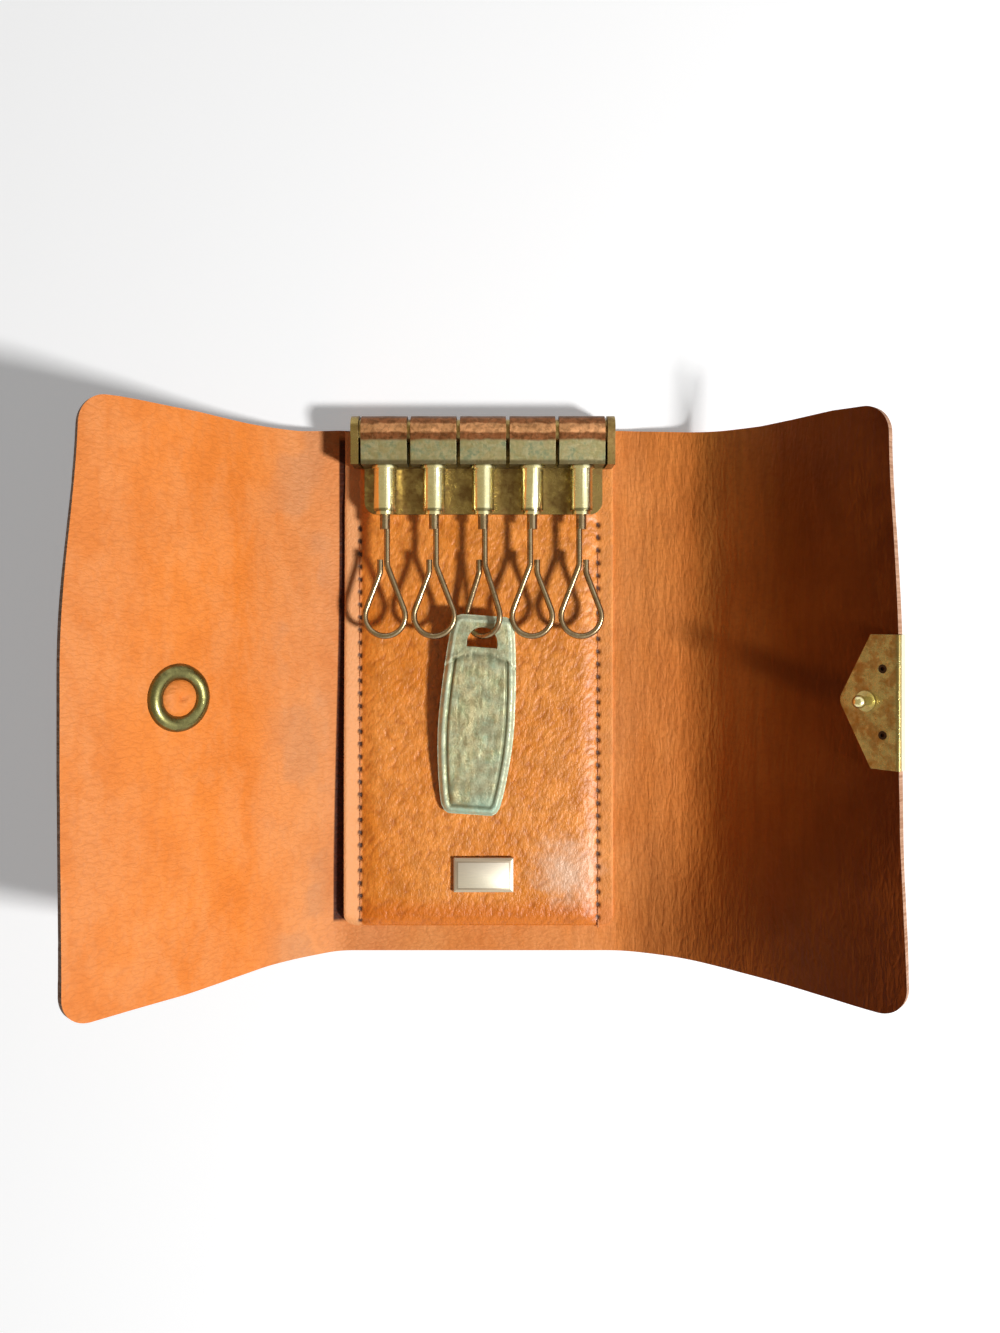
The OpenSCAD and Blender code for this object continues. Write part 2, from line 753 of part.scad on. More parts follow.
module clasp_plate() {
    low = -sheet_t - clasp_t;
    fold_h = sheet_t + 2 * clasp_t;
    color(brass_color) cover_frame(1) difference() {
        union() {
            for (z = [low, 0])
                translate([right_cover_w, snap_y, z]) mirror([1, 0, 0])
                    linear_extrude(clasp_t) clasp_leaf();
            translate([right_cover_w, snap_y + clasp_h / 2, 0]) rotate([90, 0, 0])
                linear_extrude(clasp_h) {
                    for (z = [low, 0])
                        translate([0, z]) square([clasp_gap, clasp_t]);
                    translate([clasp_gap, low + clasp_t]) square([clasp_t, fold_h - 2 * clasp_t]);
                    for (z = [low + clasp_t, 0])
                        intersection() {
                            translate([clasp_gap, z]) circle(r = clasp_t);
                            translate([clasp_gap, low]) square([clasp_t, fold_h]);
                        }
                }
        }
        clasp_rivet_holes();
        translate([right_cover_w - stud_inset, snap_y, -overrun / 4])
            cylinder(r = stud_neck_r + running_gap, h = clasp_t + overrun);
    }
}

module clasp_rivets() {
    color(plate_color) cover_frame(1) clasp_rivet_places()
        translate([0, 0, -sheet_t - clasp_t]) difference() {
            cylinder(r = clasp_rivet_r, h = sheet_t + 2 * clasp_t);
            translate([0, 0, sheet_t + clasp_t]) cylinder(r = clasp_rivet_r / 2, h = clasp_t + overrun);
        }
}

module stud_section() {
    ball_z = clasp_t + stud_h - ball_r;
    intersection() {
        union() {
            square([stud_neck_r, ball_z]);
            translate([0, clasp_t]) square([stud_foot_r, stud_foot_t]);
            translate([0, ball_z]) circle(r = ball_r);
        }
        square([stud_foot_r, clasp_t + stud_h]);
    }
}

module snap_stud() {
    color(wire_color) at_stud() rotate_extrude() stud_section();
}

back_leather();
back_lining();
key_panel();
panel_stiffener();
label_plate();
left_spine_leather();
left_spine_lining();
left_cover_leather();
left_cover_lining();
right_spine_leather();
right_spine_lining();
right_cover_leather();
right_cover_lining();
mounting_plate();
plate_rivets();
hinge_rod();
strap(1);  // strap_1
strap(2);  // strap_2
strap(3);  // strap_3
strap(4);  // strap_4
strap(5);  // strap_5
barrel(1);  // barrel_1
barrel(2);  // barrel_2
barrel(3);  // barrel_3
barrel(4);  // barrel_4
barrel(5);  // barrel_5
hook(1);  // hook_1
hook(2);  // hook_2
hook(3);  // hook_3
hook(4);  // hook_4
hook(5);  // hook_5
tag();
snap_ring();
snap_socket();
socket_spring();
clasp_plate();
clasp_rivets();
snap_stud();
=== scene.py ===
import json
import math

import bmesh
import bpy
import numpy as np
from mathutils import Matrix, Vector


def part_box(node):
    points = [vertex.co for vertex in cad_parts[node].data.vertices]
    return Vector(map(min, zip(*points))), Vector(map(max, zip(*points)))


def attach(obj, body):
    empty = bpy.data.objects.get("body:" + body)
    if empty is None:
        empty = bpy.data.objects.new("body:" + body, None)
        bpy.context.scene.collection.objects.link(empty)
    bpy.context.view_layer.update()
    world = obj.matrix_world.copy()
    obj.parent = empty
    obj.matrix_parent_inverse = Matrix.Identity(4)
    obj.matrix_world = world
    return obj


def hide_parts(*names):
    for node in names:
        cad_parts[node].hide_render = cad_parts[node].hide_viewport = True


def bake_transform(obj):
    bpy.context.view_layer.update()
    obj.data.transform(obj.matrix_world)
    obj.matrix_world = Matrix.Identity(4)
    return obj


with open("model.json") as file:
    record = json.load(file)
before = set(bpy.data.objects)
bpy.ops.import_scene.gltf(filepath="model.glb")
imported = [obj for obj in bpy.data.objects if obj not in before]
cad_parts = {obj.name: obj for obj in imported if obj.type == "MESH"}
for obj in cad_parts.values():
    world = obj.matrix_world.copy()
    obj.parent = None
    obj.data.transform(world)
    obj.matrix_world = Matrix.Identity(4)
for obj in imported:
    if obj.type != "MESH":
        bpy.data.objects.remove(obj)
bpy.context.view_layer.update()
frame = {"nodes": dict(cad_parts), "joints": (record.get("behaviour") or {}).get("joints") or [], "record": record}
nodes = frame["nodes"]
mm = 0.001
print("frame loaded:", len(nodes), "nodes")


def boxOf(name):
    # a node's low and high corner, in millimetres
    return [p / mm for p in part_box(name)]


def middleOf(name):
    low, high = boxOf(name)
    return (low + high) / 2


# Camera and light: the camera looks straight down on the case, +Y up in the picture, as far off as a phone
cameraSizes = {"place": (4.2, 15.3, 205), "lens": 27.2, "sensor": 36, "shift": -0.0386, "clip": (0.01, 20)}
lightSizes = {"place": (600, -250, 660), "size": 110, "watts": 9.15, "fill": 0.062}
floorSizes = {"half": 2, "tone": 0.88, "roughness": 0.95, "glow": 0.3}
# Dark cards that only reflections see, as flags over a table: (low x, high x, low y, high y) at that height
cardSizes = {
    "height": 450, "parts": [(-600, 20, -600, 600), (20, 130, -115, 600)], "left": -600, "reach": 600,
    "tone": (0.42, 0.37, 0.26, 1),
}


def linkObject(name, data):
    made = bpy.data.objects.new(name, data)
    bpy.context.scene.collection.objects.link(made)
    return made


def fillInputs(tree, node, inputs):
    # a socket is linked, a plain value is set on the input itself, and None leaves it as it comes
    for name, value in dict(inputs).items():
        if isinstance(value, bpy.types.NodeSocket):
            tree.links.new(value, node.inputs[name])
        elif value is not None:
            node.inputs[name].default_value = value


def makeCamera(sizes):
    data = bpy.data.cameras.new("camera")
    data.lens, data.sensor_width, data.shift_y = sizes["lens"], sizes["sensor"], sizes["shift"]
    data.clip_start, data.clip_end = sizes["clip"]
    camera = linkObject("camera", data)
    camera.location = Vector(sizes["place"]) * mm
    bpy.context.scene.camera = camera


def makeLight(sizes):
    data = bpy.data.lights.new("window", "AREA")
    data.energy, data.size = sizes["watts"], sizes["size"] * mm
    light = linkObject("window", data)
    light.location = Vector(sizes["place"]) * mm
    light.rotation_mode = "QUATERNION"
    light.rotation_quaternion = (-light.location).to_track_quat("-Z", "Y")


def seenDirectly(tree):
    # 1 for camera, glossy and transmission rays, 0 for the rays that light other things
    path = tree.nodes.new("ShaderNodeLightPath")
    total = path.outputs["Is Camera Ray"]
    for kind in ("Is Glossy Ray", "Is Transmission Ray"):
        total = maths(tree, "MAXIMUM", total, path.outputs[kind])
    return total


def makeWorld(fill):
    world = bpy.data.worlds.new("studio")
    bpy.context.scene.world = world
    world.use_nodes = True
    tree = world.node_tree
    tree.nodes.clear()
    skies = [
        addNode(tree, "Background", {"Color": (1, 1, 1, 1), "Strength": strength}).outputs[0]
        for strength in (fill, 1)
    ]
    mix = addNode(tree, "MixShader", {0: seenDirectly(tree), 1: skies[0], 2: skies[1]})
    addNode(tree, "OutputWorld", {"Surface": mix.outputs[0]})


def makeStage(name, points, inputs):
    # flat four-cornered sheets that belong to the studio and not to the case
    material, tree, shader = newMaterial(name, inputs)
    mesh = bpy.data.meshes.new(name)
    faces = np.arange(len(points)).reshape(-1, 4)
    mesh.from_pydata(points, [], faces.tolist())
    mesh.materials.append(material)
    stage = linkObject(name, mesh)
    return stage, tree, shader


def makeFloor(sizes):
    half, tone = sizes["half"], sizes["tone"]
    points = [(-half, -half, 0), (half, -half, 0), (half, half, 0), (-half, half, 0)]
    _, tree, shader = makeStage("floor", points, {
        "Base Color": (tone, tone, tone, 1), "Roughness": sizes["roughness"], "Emission Color": (1, 1, 1, 1),
    })
    glow = maths(tree, "MULTIPLY", seenDirectly(tree), sizes["glow"])
    fillInputs(tree, shader, {"Emission Strength": glow})


def makeCards(sizes):
    top, left, reach = sizes["height"], sizes["left"], sizes["reach"]
    points = [(left, -reach, 0), (left, reach, 0), (left, reach, top), (left, -reach, top)]
    for a, b, c, d in sizes["parts"]:
        points += [(a, c, top), (a, d, top), (b, d, top), (b, c, top)]
    cards, _, _ = makeStage("cards", [tuple(v * mm for v in p) for p in points], {
        "Base Color": (0, 0, 0, 1), "Specular IOR Level": 0, "Emission Color": sizes["tone"],
        "Emission Strength": 1,
    })
    cards.visible_camera = cards.visible_diffuse = cards.visible_shadow = cards.visible_transmission = False


# Shader building: each helper adds one node and hands back its output
def addNode(tree, kind, inputs=(), **settings):
    # the settings come first, because they decide which sockets there are
    node = tree.nodes.new("ShaderNode" + kind)
    for name, value in settings.items():
        setattr(node, name, value)
    fillInputs(tree, node, inputs)
    return node


def maths(tree, operation, a, b=None, clamp=False):
    return addNode(tree, "Math", {0: a, 1: b}, operation=operation, use_clamp=clamp).outputs[0]


def times(tree, *factors):
    total = factors[0]
    for factor in factors[1:]:
        total = maths(tree, "MULTIPLY", total, factor)
    return total


def mixColour(tree, share, a, b):
    a, b = [(*c, 1) if isinstance(c, tuple) else c for c in (a, b)]
    return addNode(tree, "Mix", {0: share, 6: a, 7: b}, data_type="RGBA").outputs[2]


def tint(tree, tone, colour, *shares):
    # the tone moved towards a colour by the product of the shares
    return mixColour(tree, times(tree, *shares), tone, colour)


def noise(tree, place, scale, detail=2.0, roughness=0.5, distortion=0.0, dimensions="3D"):
    inputs = {
        "Vector": place, "Scale": scale, "Detail": detail, "Roughness": roughness, "Distortion": distortion,
    }
    return addNode(tree, "TexNoise", inputs, noise_dimensions=dimensions).outputs["Fac"]


def between(tree, value, low, high, newLow=0.0, newHigh=1.0):
    inputs = {"Value": value, "From Min": low, "From Max": high, "To Min": newLow, "To Max": newHigh}
    return addNode(tree, "MapRange", inputs, interpolation_type="SMOOTHSTEP").outputs[0]


def ramp(tree, value, stops):
    # stops are (place, colour) with places from 0 to 1
    node = addNode(tree, "ValToRGB", {0: value})
    band = node.color_ramp
    while len(band.elements) < len(stops):
        band.elements.new(0.5)
    for element, (place, colour) in zip(band.elements, stops):
        element.position = place
        element.color = (*colour, 1)
    return node.outputs[0]


def stretched(tree, place, scale, turn=(0, 0, 0)):
    return addNode(tree, "Mapping", {"Vector": place, "Rotation": turn, "Scale": scale}).outputs[0]


def millimetres(tree, uv=None):
    # a place in millimetres, from the object or from one of the piece's own maps
    if uv:
        source = addNode(tree, "UVMap", uv_map=uv).outputs[0]
    else:
        source = addNode(tree, "TexCoord").outputs["Object"]
    return stretched(tree, source, (1000, 1000, 1000))


def axes(tree, place):
    return list(addNode(tree, "SeparateXYZ", {0: place}).outputs)


def vectors(tree, operation, a, b=None, scale=None):
    inputs = {0: a, 1: b, "Scale": scale}
    return addNode(tree, "VectorMath", inputs, operation=operation).outputs[0]


def valueOn(tree, name):
    # a value that the piece's own mesh carries
    return addNode(tree, "Attribute", attribute_name=name).outputs["Fac"]


def makeGroup(name, inputs, outputs, build):
    # inputs are (name, kind, value); build(tree, sockets) hands back one socket for each output
    group = bpy.data.node_groups.new(name, "ShaderNodeTree")
    for label, kind, value in inputs:
        socket = group.interface.new_socket(name=label, in_out="INPUT", socket_type="NodeSocket" + kind)
        if value is not None:
            socket.default_value = value
    for label in outputs:
        group.interface.new_socket(name=label, in_out="OUTPUT", socket_type="NodeSocketFloat")
    start = group.nodes.new("NodeGroupInput")
    end = group.nodes.new("NodeGroupOutput")
    for made, socket in zip(build(group, start.outputs), end.inputs):
        group.links.new(made, socket)
    return group


def useGroup(tree, group, inputs):
    node = tree.nodes.new("ShaderNodeGroup")
    node.node_tree = group
    fillInputs(tree, node, inputs)
    return node.outputs


def buildGrain(tree, given):
    # soft lumps: 1 - distance to the nearest of scattered points, warped a little, with fine noise on top
    place = vectors(tree, "SCALE", given["Vector"], scale=maths(tree, "DIVIDE", 1, given["Size"]))
    warp = addNode(tree, "TexNoise", {"Vector": place, "Scale": 0.6, "Detail": 1}, noise_dimensions="2D")
    shift = vectors(tree, "SUBTRACT", warp.outputs["Color"], (0.5, 0.5, 0.5))
    warped = vectors(tree, "ADD", place, vectors(tree, "SCALE", shift, scale=1.6))
    cells = addNode(tree, "TexVoronoi", {"Vector": warped, "Scale": 1}, voronoi_dimensions="2D", feature="F1")
    lump = maths(tree, "SUBTRACT", 1, cells.outputs["Distance"])
    fine = noise(tree, place, 3.2, 3, 0.6, dimensions="2D")
    return [maths(tree, "ADD", times(tree, lump, 0.75), times(tree, fine, 0.4))]


def buildBlotches(tree, given):
    # soft patches: two sizes of noise, cut between a low and a high value
    place = vectors(tree, "SCALE", given["Vector"], scale=maths(tree, "DIVIDE", 1, given["Size"]))
    wide = noise(tree, place, 1, 3, 0.55, 0.4)
    fine = noise(tree, place, 5, 4, 0.65)
    both = maths(tree, "ADD", times(tree, wide, 0.7), times(tree, fine, 0.3))
    return [between(tree, both, 0.4, 0.62)]


def buildRubbedMetal(tree, given):
    # faint dents and long fine scratches in two directions
    dents = noise(tree, given["Vector"], 0.9, 3, 0.5)
    lineA = noise(tree, stretched(tree, given["Vector"], (14, 0.5, 3), (0, 0, 0.35)), 1, 2)
    lineB = noise(tree, stretched(tree, given["Vector"], (0.6, 16, 3), (0, 0, -0.2)), 1, 2)
    lines = between(tree, maths(tree, "MAXIMUM", lineA, lineB), 0.62, 0.74)
    height = maths(tree, "SUBTRACT", dents, times(tree, lines, 0.25))
    return height, lines


vectorIn = ("Vector", "Vector", None)
leatherGrain = makeGroup("leatherGrain", [vectorIn, ("Size", "Float", 1.0)], ["Height"], buildGrain)
blotches = makeGroup("blotches", [vectorIn, ("Size", "Float", 10.0)], ["Mask"], buildBlotches)
rubbedMetal = makeGroup("rubbedMetal", [vectorIn], ["Height", "Scratches"], buildRubbedMetal)


def grainOn(tree, place, size):
    return useGroup(tree, leatherGrain, {"Vector": place, "Size": size})["Height"]


def patchesOn(tree, place, size):
    return useGroup(tree, blotches, {"Vector": place, "Size": size})["Mask"]


def newMaterial(name, plain=()):
    # plain values go straight on the shader's own sockets
    material = bpy.data.materials.new(name)
    material.use_nodes = True
    tree = material.node_tree
    shader = tree.nodes["Principled BSDF"]
    fillInputs(tree, shader, plain)
    return material, tree, shader


def dress(tree, shader, inputs, height, strength, depth):
    # the last step of a finish: its sockets, and a bump whose depth is in millimetres
    bump = addNode(tree, "Bump", {"Height": height, "Strength": strength, "Distance": depth * mm})
    fillInputs(tree, shader, {**inputs, "Normal": bump.outputs[0]})


makeCamera(cameraSizes)
makeLight(lightSizes)
makeWorld(lightSizes["fill"])
makeFloor(floorSizes)
makeCards(cardSizes)
bpy.context.scene.view_settings.view_transform = "Standard"
print("camera, light and floor made")


# Leathers read the map "flat": how far out along the leather and how far up the fold, in metres
liningTones = {
    # the tones across the case; the dark ones at its right end are painted shade on the right cover
    "across": [
        (0.04, (0.84, 0.26, 0.058)), (0.14, (0.9, 0.265, 0.045)), (0.22, (0.88, 0.25, 0.036)),
        (0.3, (0.84, 0.3, 0.085)), (0.38, (0.82, 0.3, 0.1)), (0.44, (0.8, 0.28, 0.07)),
        (0.5, (0.84, 0.28, 0.07)), (0.7, (0.9, 0.3, 0.065)), (0.76, (0.66, 0.185, 0.026)),
        (0.84, (0.43, 0.105, 0.009)), (0.93, (0.29, 0.058, 0.003)), (0.99, (0.2, 0.033, 0.002)),
    ],
    "patch": (0.62, 0.15, 0.02), "rubbed": (0.92, 0.4, 0.15), "smudge": (0.5, 0.27, 0.15),
    # painted light and shade: top lightens and foot and crease darken the right cover
    "top": (0.95, 0.36, 0.075), "foot": (0.12, 0.022, 0.002), "crease": (0.1, 0.018, 0.002),
    # painted shadow: the first tone here is the near black under the panel's loose left edge
    "slitShadow": (0.03, 0.003, 0.001), "fibre": (0.16, 0.03, 0.003), "hollow": (0.3, 0.06, 0.01),
}


def makeLiningLeather():
    tones = liningTones
    material, tree, shader = newMaterial("liningLeather", {"Specular IOR Level": 0.14})
    flat = millimetres(tree, "flat")
    out, up = axes(tree, flat)[:2]
    across = maths(tree, "DIVIDE", maths(tree, "ADD", out, 90), 180, clamp=True)
    # painted shade: the tones across darken over the right cover, which faces away from the light
    tone = ramp(tree, across, tones["across"])
    tone = tint(tree, tone, tones["patch"], patchesOn(tree, flat, 22), 0.28)
    rubbed = patchesOn(tree, stretched(tree, flat, (1, 0.45, 1)), 9)
    tone = tint(tree, tone, tones["rubbed"], rubbed, between(tree, out, 48, 20), 0.3)
    # greyer, paler patches in a band by the key panel's fold
    near = times(tree, between(tree, out, -48, -38), between(tree, out, -28, -34))
    uneven = between(tree, noise(tree, flat, 0.07, dimensions="2D"), 0.48, 0.62)
    tone = tint(tree, tone, tones["smudge"], near, uneven, 0.28)
    # painted light and shade on the right side: paler towards the hooks and darker towards the foot
    middle = times(tree, between(tree, out, 42, 48), between(tree, out, 66, 52))
    tone = tint(tree, tone, tones["top"], middle, between(tree, up, -30, 12, 0, 0.5))
    tone = tint(tree, tone, tones["foot"], between(tree, out, 27, 36), between(tree, up, -22, -44, 0, 0.32))
    # painted shade: a dark band runs in from the clasp plate's tip, where a fold shades the cover
    slant = maths(tree, "SUBTRACT", up, between(tree, out, 50, 76, 8, 2.5))
    foldShade = between(tree, maths(tree, "ABSOLUTE", slant), 4.5, 0.5)
    tone = tint(tree, tone, tones["crease"], foldShade, between(tree, out, 48, 60), 0.5)
    # painted shadow: the lining is near black where the panel's loose left edge lies over it and shades it
    edge = maths(tree, "ADD", out, between(tree, up, 30, -40, 28.3, 29.5))
    width = times(tree, between(tree, edge, -0.3, 0.1), between(tree, out, -26, -27))
    length = times(tree, between(tree, up, -46.8, -45.8), between(tree, up, 52, 50))
    tone = tint(tree, tone, tones["slitShadow"], width, length, 0.97)
    # grain runs across on the left cover, and up the fold with long fibres on the right one
    rightSide = between(tree, out, 5, 40)
    leftGrain = grainOn(tree, stretched(tree, flat, (0.6, 1.1, 1)), 0.75)
    rightGrain = grainOn(tree, stretched(tree, flat, (1, 0.38, 1), (0, 0, 0.12)), 0.85)
    grain = addNode(tree, "Mix", {0: rightSide, 2: leftGrain, 3: rightGrain}, data_type="FLOAT").outputs[0]
    folds = noise(tree, stretched(tree, flat, (0.5, 0.07, 1)), 1, 3, 0.6, dimensions="2D")
    height = maths(tree, "ADD", grain, times(tree, folds, rightSide, 1.5))
    tone = tint(tree, tone, tones["fibre"], between(tree, folds, 0.38, 0.66), rightSide, 0.154)
    tone = tint(tree, tone, tones["hollow"], between(tree, leftGrain, 0.72, 0.4), 0.12)
    dress(tree, shader, {
        "Base Color": tone, "Roughness": between(tree, rubbed, 0, 1, 0.62, 0.5),
    }, height, 0.7, 0.2)
    return material


outerTones = {"worn": (0.44, 0.15, 0.04), "dark": (0.3, 0.09, 0.022), "hollow": (0.16, 0.045, 0.01)}


def makeOuterLeather():
    # worn pull-up leather: paler on the lumps' tops, darker between them, with a thin polish
    material, tree, shader = newMaterial("outerLeather", {"Coat Roughness": 0.25, "Specular IOR Level": 0.4})
    flat = millimetres(tree, "flat")
    grain = grainOn(tree, stretched(tree, flat, (1, 0.6, 1), (0, 0, -0.5)), 1.5)
    patches = patchesOn(tree, flat, 14)
    tone = mixColour(tree, patches, outerTones["worn"], outerTones["dark"])
    tone = tint(tree, tone, outerTones["hollow"], between(tree, grain, 0.62, 0.35), 0.35)
    dress(tree, shader, {
        "Base Color": tone, "Roughness": between(tree, patches, 0, 1, 0.38, 0.52),
        "Coat Weight": between(tree, patches, 0, 1, 0.3, 0.15),
    }, grain, 0.5, 0.25)
    return material


panelTones = {
    "plain": ((0.97, 0.345, 0.056), (0.84, 0.26, 0.022)), "mottle": (0.48, 0.15, 0.014),
    # rubbed is the painted sheen's pale tone
    "foot": (0.72, 0.165, 0.004), "hollow": (0.46, 0.11, 0.008), "rubbed": (0.92, 0.58, 0.38),
    # hole is painted shade inside the seam holes
    "margin": (0.84, 0.36, 0.13), "hole": (0.05, 0.01, 0.001),
    # where the painted sheen sits and how far it reaches
    "sheenPlace": (17.5, -36), "sheenReach": (8, 9),
}


def makePanelLeather():
    # the values "hollow", "margin" and "hole" come with the panel's mesh
    tones = panelTones
    material, tree, shader = newMaterial("panelLeather", {"Coat Roughness": 0.3, "Specular IOR Level": 0.45})
    flat = millimetres(tree, "flat")
    across, up = axes(tree, flat)[:2]
    margin = valueOn(tree, "margin")
    tone = mixColour(tree, patchesOn(tree, flat, 16), *tones["plain"])
    mottled = patchesOn(tree, stretched(tree, flat, (1, 0.7, 1), (0, 0, -0.5)), 2.6)
    tone = tint(tree, tone, tones["mottle"], mottled, 0.5)
    # darker, deeper orange towards the rolled foot and in the hollows
    tone = tint(tree, tone, tones["foot"], between(tree, up, -40.5, -44.5), 0.75)
    tone = tint(tree, tone, tones["hollow"], valueOn(tree, "hollow"), 0.6)
    # painted highlight: a pale sheen by the right seam, low down: the distance from its middle, made uneven
    squares = []
    for place, middle, reach in zip((across, up), tones["sheenPlace"], tones["sheenReach"]):
        off = maths(tree, "DIVIDE", maths(tree, "SUBTRACT", place, middle), reach)
        squares.append(times(tree, off, off))
    away = maths(tree, "SQRT", maths(tree, "ADD", *squares))
    uneven = noise(tree, flat, 0.35, 3, 0.6, dimensions="2D")
    tone = tint(tree, tone, tones["rubbed"], between(tree, maths(tree, "ADD", away, uneven), 1.6, 0.5), 0.85)
    tone = tint(tree, tone, tones["margin"], margin, between(tree, across, 5, -5, 0.25, 1))
    # painted shade: the seam holes are near black inside
    tone = tint(tree, tone, tones["hole"], valueOn(tree, "hole"))
    fine = grainOn(tree, stretched(tree, flat, (1, 0.6, 1), (0, 0, -0.5)), 0.5)
    dress(tree, shader, {
        "Base Color": tone, "Roughness": between(tree, margin, 0, 1, 0.4, 0.6),
        "Coat Weight": between(tree, margin, 0, 1, 0.15, 0),
    }, fine, 0.6, 0.16)
    return material


# The plain finishes: two tones each, mixed by fibres, twist or drawing lines
plainTones = {
    "cutEdge": ((0.56, 0.32, 0.2), (0.3, 0.13, 0.06)), "thread": ((0.55, 0.17, 0.04), (0.8, 0.32, 0.1)),
    "board": ((0.62, 0.52, 0.34), (0.74, 0.64, 0.46)), "spring": ((0.5, 0.5, 0.52), (0.66, 0.66, 0.68)),
}


def makeCutEdge():
    material, tree, shader = newMaterial("cutEdge", {"Specular IOR Level": 0.3})
    fibres = noise(tree, millimetres(tree, "flat"), 2.2, 4, 0.7)
    tone = mixColour(tree, between(tree, fibres, 0.35, 0.7), *plainTones["cutEdge"])
    dress(tree, shader, {
        "Base Color": tone, "Roughness": between(tree, fibres, 0.3, 0.7, 0.6, 0.8),
    }, fibres, 0.5, 0.1)
    return material


def makeThread():
    material, tree, shader = newMaterial("thread", {"Sheen Weight": 0.2, "Roughness": 0.75})
    place = stretched(tree, millimetres(tree), (1, 1, 1), (0, 0, 0.7))
    twist = addNode(tree, "TexWave", {"Vector": place, "Scale": 1.6}).outputs["Fac"]
    tone = mixColour(tree, twist, *plainTones["thread"])
    dress(tree, shader, {"Base Color": tone}, twist, 0.6, 0.08)
    return material


def barrelBands():
    # dark rings on the barrels: the step to the collar at the foot, and the flange's shoulder at the top
    low, high = [p.y for p in boxOf("barrel_1")]
    return [(low + 0.45, low + 0.75, low + 1, low + 1.35), (high - 1.5, high - 1.2, high - 0.9, high - 0.7)]


# Worn platings: the bright metal, what dulls it, how much is dull, the two roughnesses, the patches' size
platings = {
    "plateBrass": ((0.46, 0.34, 0.12), (0.22, 0.13, 0.04), 0.7, (0.25, 0.45), 4),
    "barrelBrass": ((1, 0.95, 0.56), (0.7, 0.6, 0.26), 0.35, (0.22, 0.34), 3, barrelBands()),
    "studBrass": ((0.95, 0.86, 0.46), (0.66, 0.56, 0.22), 0.35, (0.16, 0.3), 3),
    "wireBrass": ((0.44, 0.34, 0.2), (0.2, 0.13, 0.06), 0.6, (0.2, 0.36), 3),
    "ringBrass": ((0.29, 0.27, 0.1), (0.14, 0.13, 0.045), 0.7, (0.22, 0.4), 2.5),
    # painted shade: the clasp's rivets are near black all over, standing in for the shade in their hollow middles
    "rivetHoleShade": ((0.09, 0.05, 0.03), (0.04, 0.02, 0.01), 0.5, (0.4, 0.5), 2),
}


def shade(colour, share):
    return tuple(min(1, c * share) for c in colour)


def makePlating(name, bright, dull, dullShare, rough, size, bands=()):
    # a bright metal with brown and green dulling in patches, scratches and small dents
    material, tree, shader = newMaterial(name)
    place = millimetres(tree)
    worn = useGroup(tree, rubbedMetal, {"Vector": place})
    small = patchesOn(tree, place, size * 0.3)
    both = maths(tree, "ADD", patchesOn(tree, place, size), times(tree, small, 0.6))
    share = maths(tree, "MULTIPLY", both, dullShare, clamp=True)
    tone = mixColour(tree, share, bright, dull)
    tone = tint(tree, tone, shade(bright, 1.35), worn["Scratches"], 0.3)
    # painted shade: darker on what turns away from the front, standing in for the dark surroundings that the sides
    # reflect
    away = addNode(tree, "LayerWeight", {"Blend": 0.35}).outputs["Facing"]
    tone = tint(tree, tone, shade(dull, 0.4), away, 0.85)
    up = axes(tree, place)[1]
    for start, full, fading, end in bands:
        ring = times(tree, between(tree, up, start, full), between(tree, up, end, fading))
        tone = tint(tree, tone, shade(dull, 0.25), ring, 0.8)
    dress(tree, shader, {
        "Base Color": tone, "Metallic": between(tree, share, 0, 1, 1, 0.82),
        "Roughness": between(tree, share, 0, 1, *rough),
    }, worn["Height"], 0.25, 0.06)
    return material


claspTones = {
    "bare": (0.66, 0.5, 0.2), "brown": (0.42, 0.2, 0.04), "dark": (0.3, 0.24, 0.09),
    "olive": (0.24, 0.22, 0.08), "rubbed": (1.0, 0.93, 0.66), "scratch": (0.95, 0.8, 0.45),
}


def makeClaspBrass():
    # rubbed pale where the plate folds over the cover's edge, olive just inside that, brown in patches
    tones = claspTones
    material, tree, shader = newMaterial("claspBrass")
    place = millimetres(tree)
    worn = useGroup(tree, rubbedMetal, {"Vector": place})
    patches = patchesOn(tree, place, 3.2)
    inward = maths(tree, "SUBTRACT", boxOf("clasp_plate")[1].x, axes(tree, place)[0])
    tone = mixColour(tree, patches, tones["bare"], tones["brown"])
    tone = tint(tree, tone, tones["dark"], patchesOn(tree, place, 1.1), 0.45)
    band = times(tree, between(tree, inward, 0.9, 1.1), between(tree, inward, 2.1, 1.8, 0, 0.6))
    tone = tint(tree, tone, tones["olive"], band)
    tone = tint(tree, tone, tones["rubbed"], between(tree, inward, 1.05, 0.85, 0, 0.85))
    tone = tint(tree, tone, tones["scratch"], worn["Scratches"], 0.3)
    dress(tree, shader, {
        "Base Color": tone, "Metallic": between(tree, patches, 0, 1, 0.95, 0.8),
        "Roughness": between(tree, patches, 0, 1, 0.22, 0.4),
    }, worn["Height"], 0.4, 0.08)
    return material


strapTones = {
    # foot is painted shade at the strap's lower edge
    "face": ((0.42, 0.37, 0.17), (0.2, 0.23, 0.13)), "speck": (0.54, 0.44, 0.24), "foot": (0.1, 0.07, 0.03),
    # these three tones are painted: a copper reflection, a highlight, and shade at the roll's top
    "copperReflection": ((0.3, 0.11, 0.04), (0.16, 0.06, 0.02)), "rubbed": (0.86, 0.44, 0.2), "top": (0.12, 0.06, 0.03),
    "scratch": (0.55, 0.5, 0.3),
}


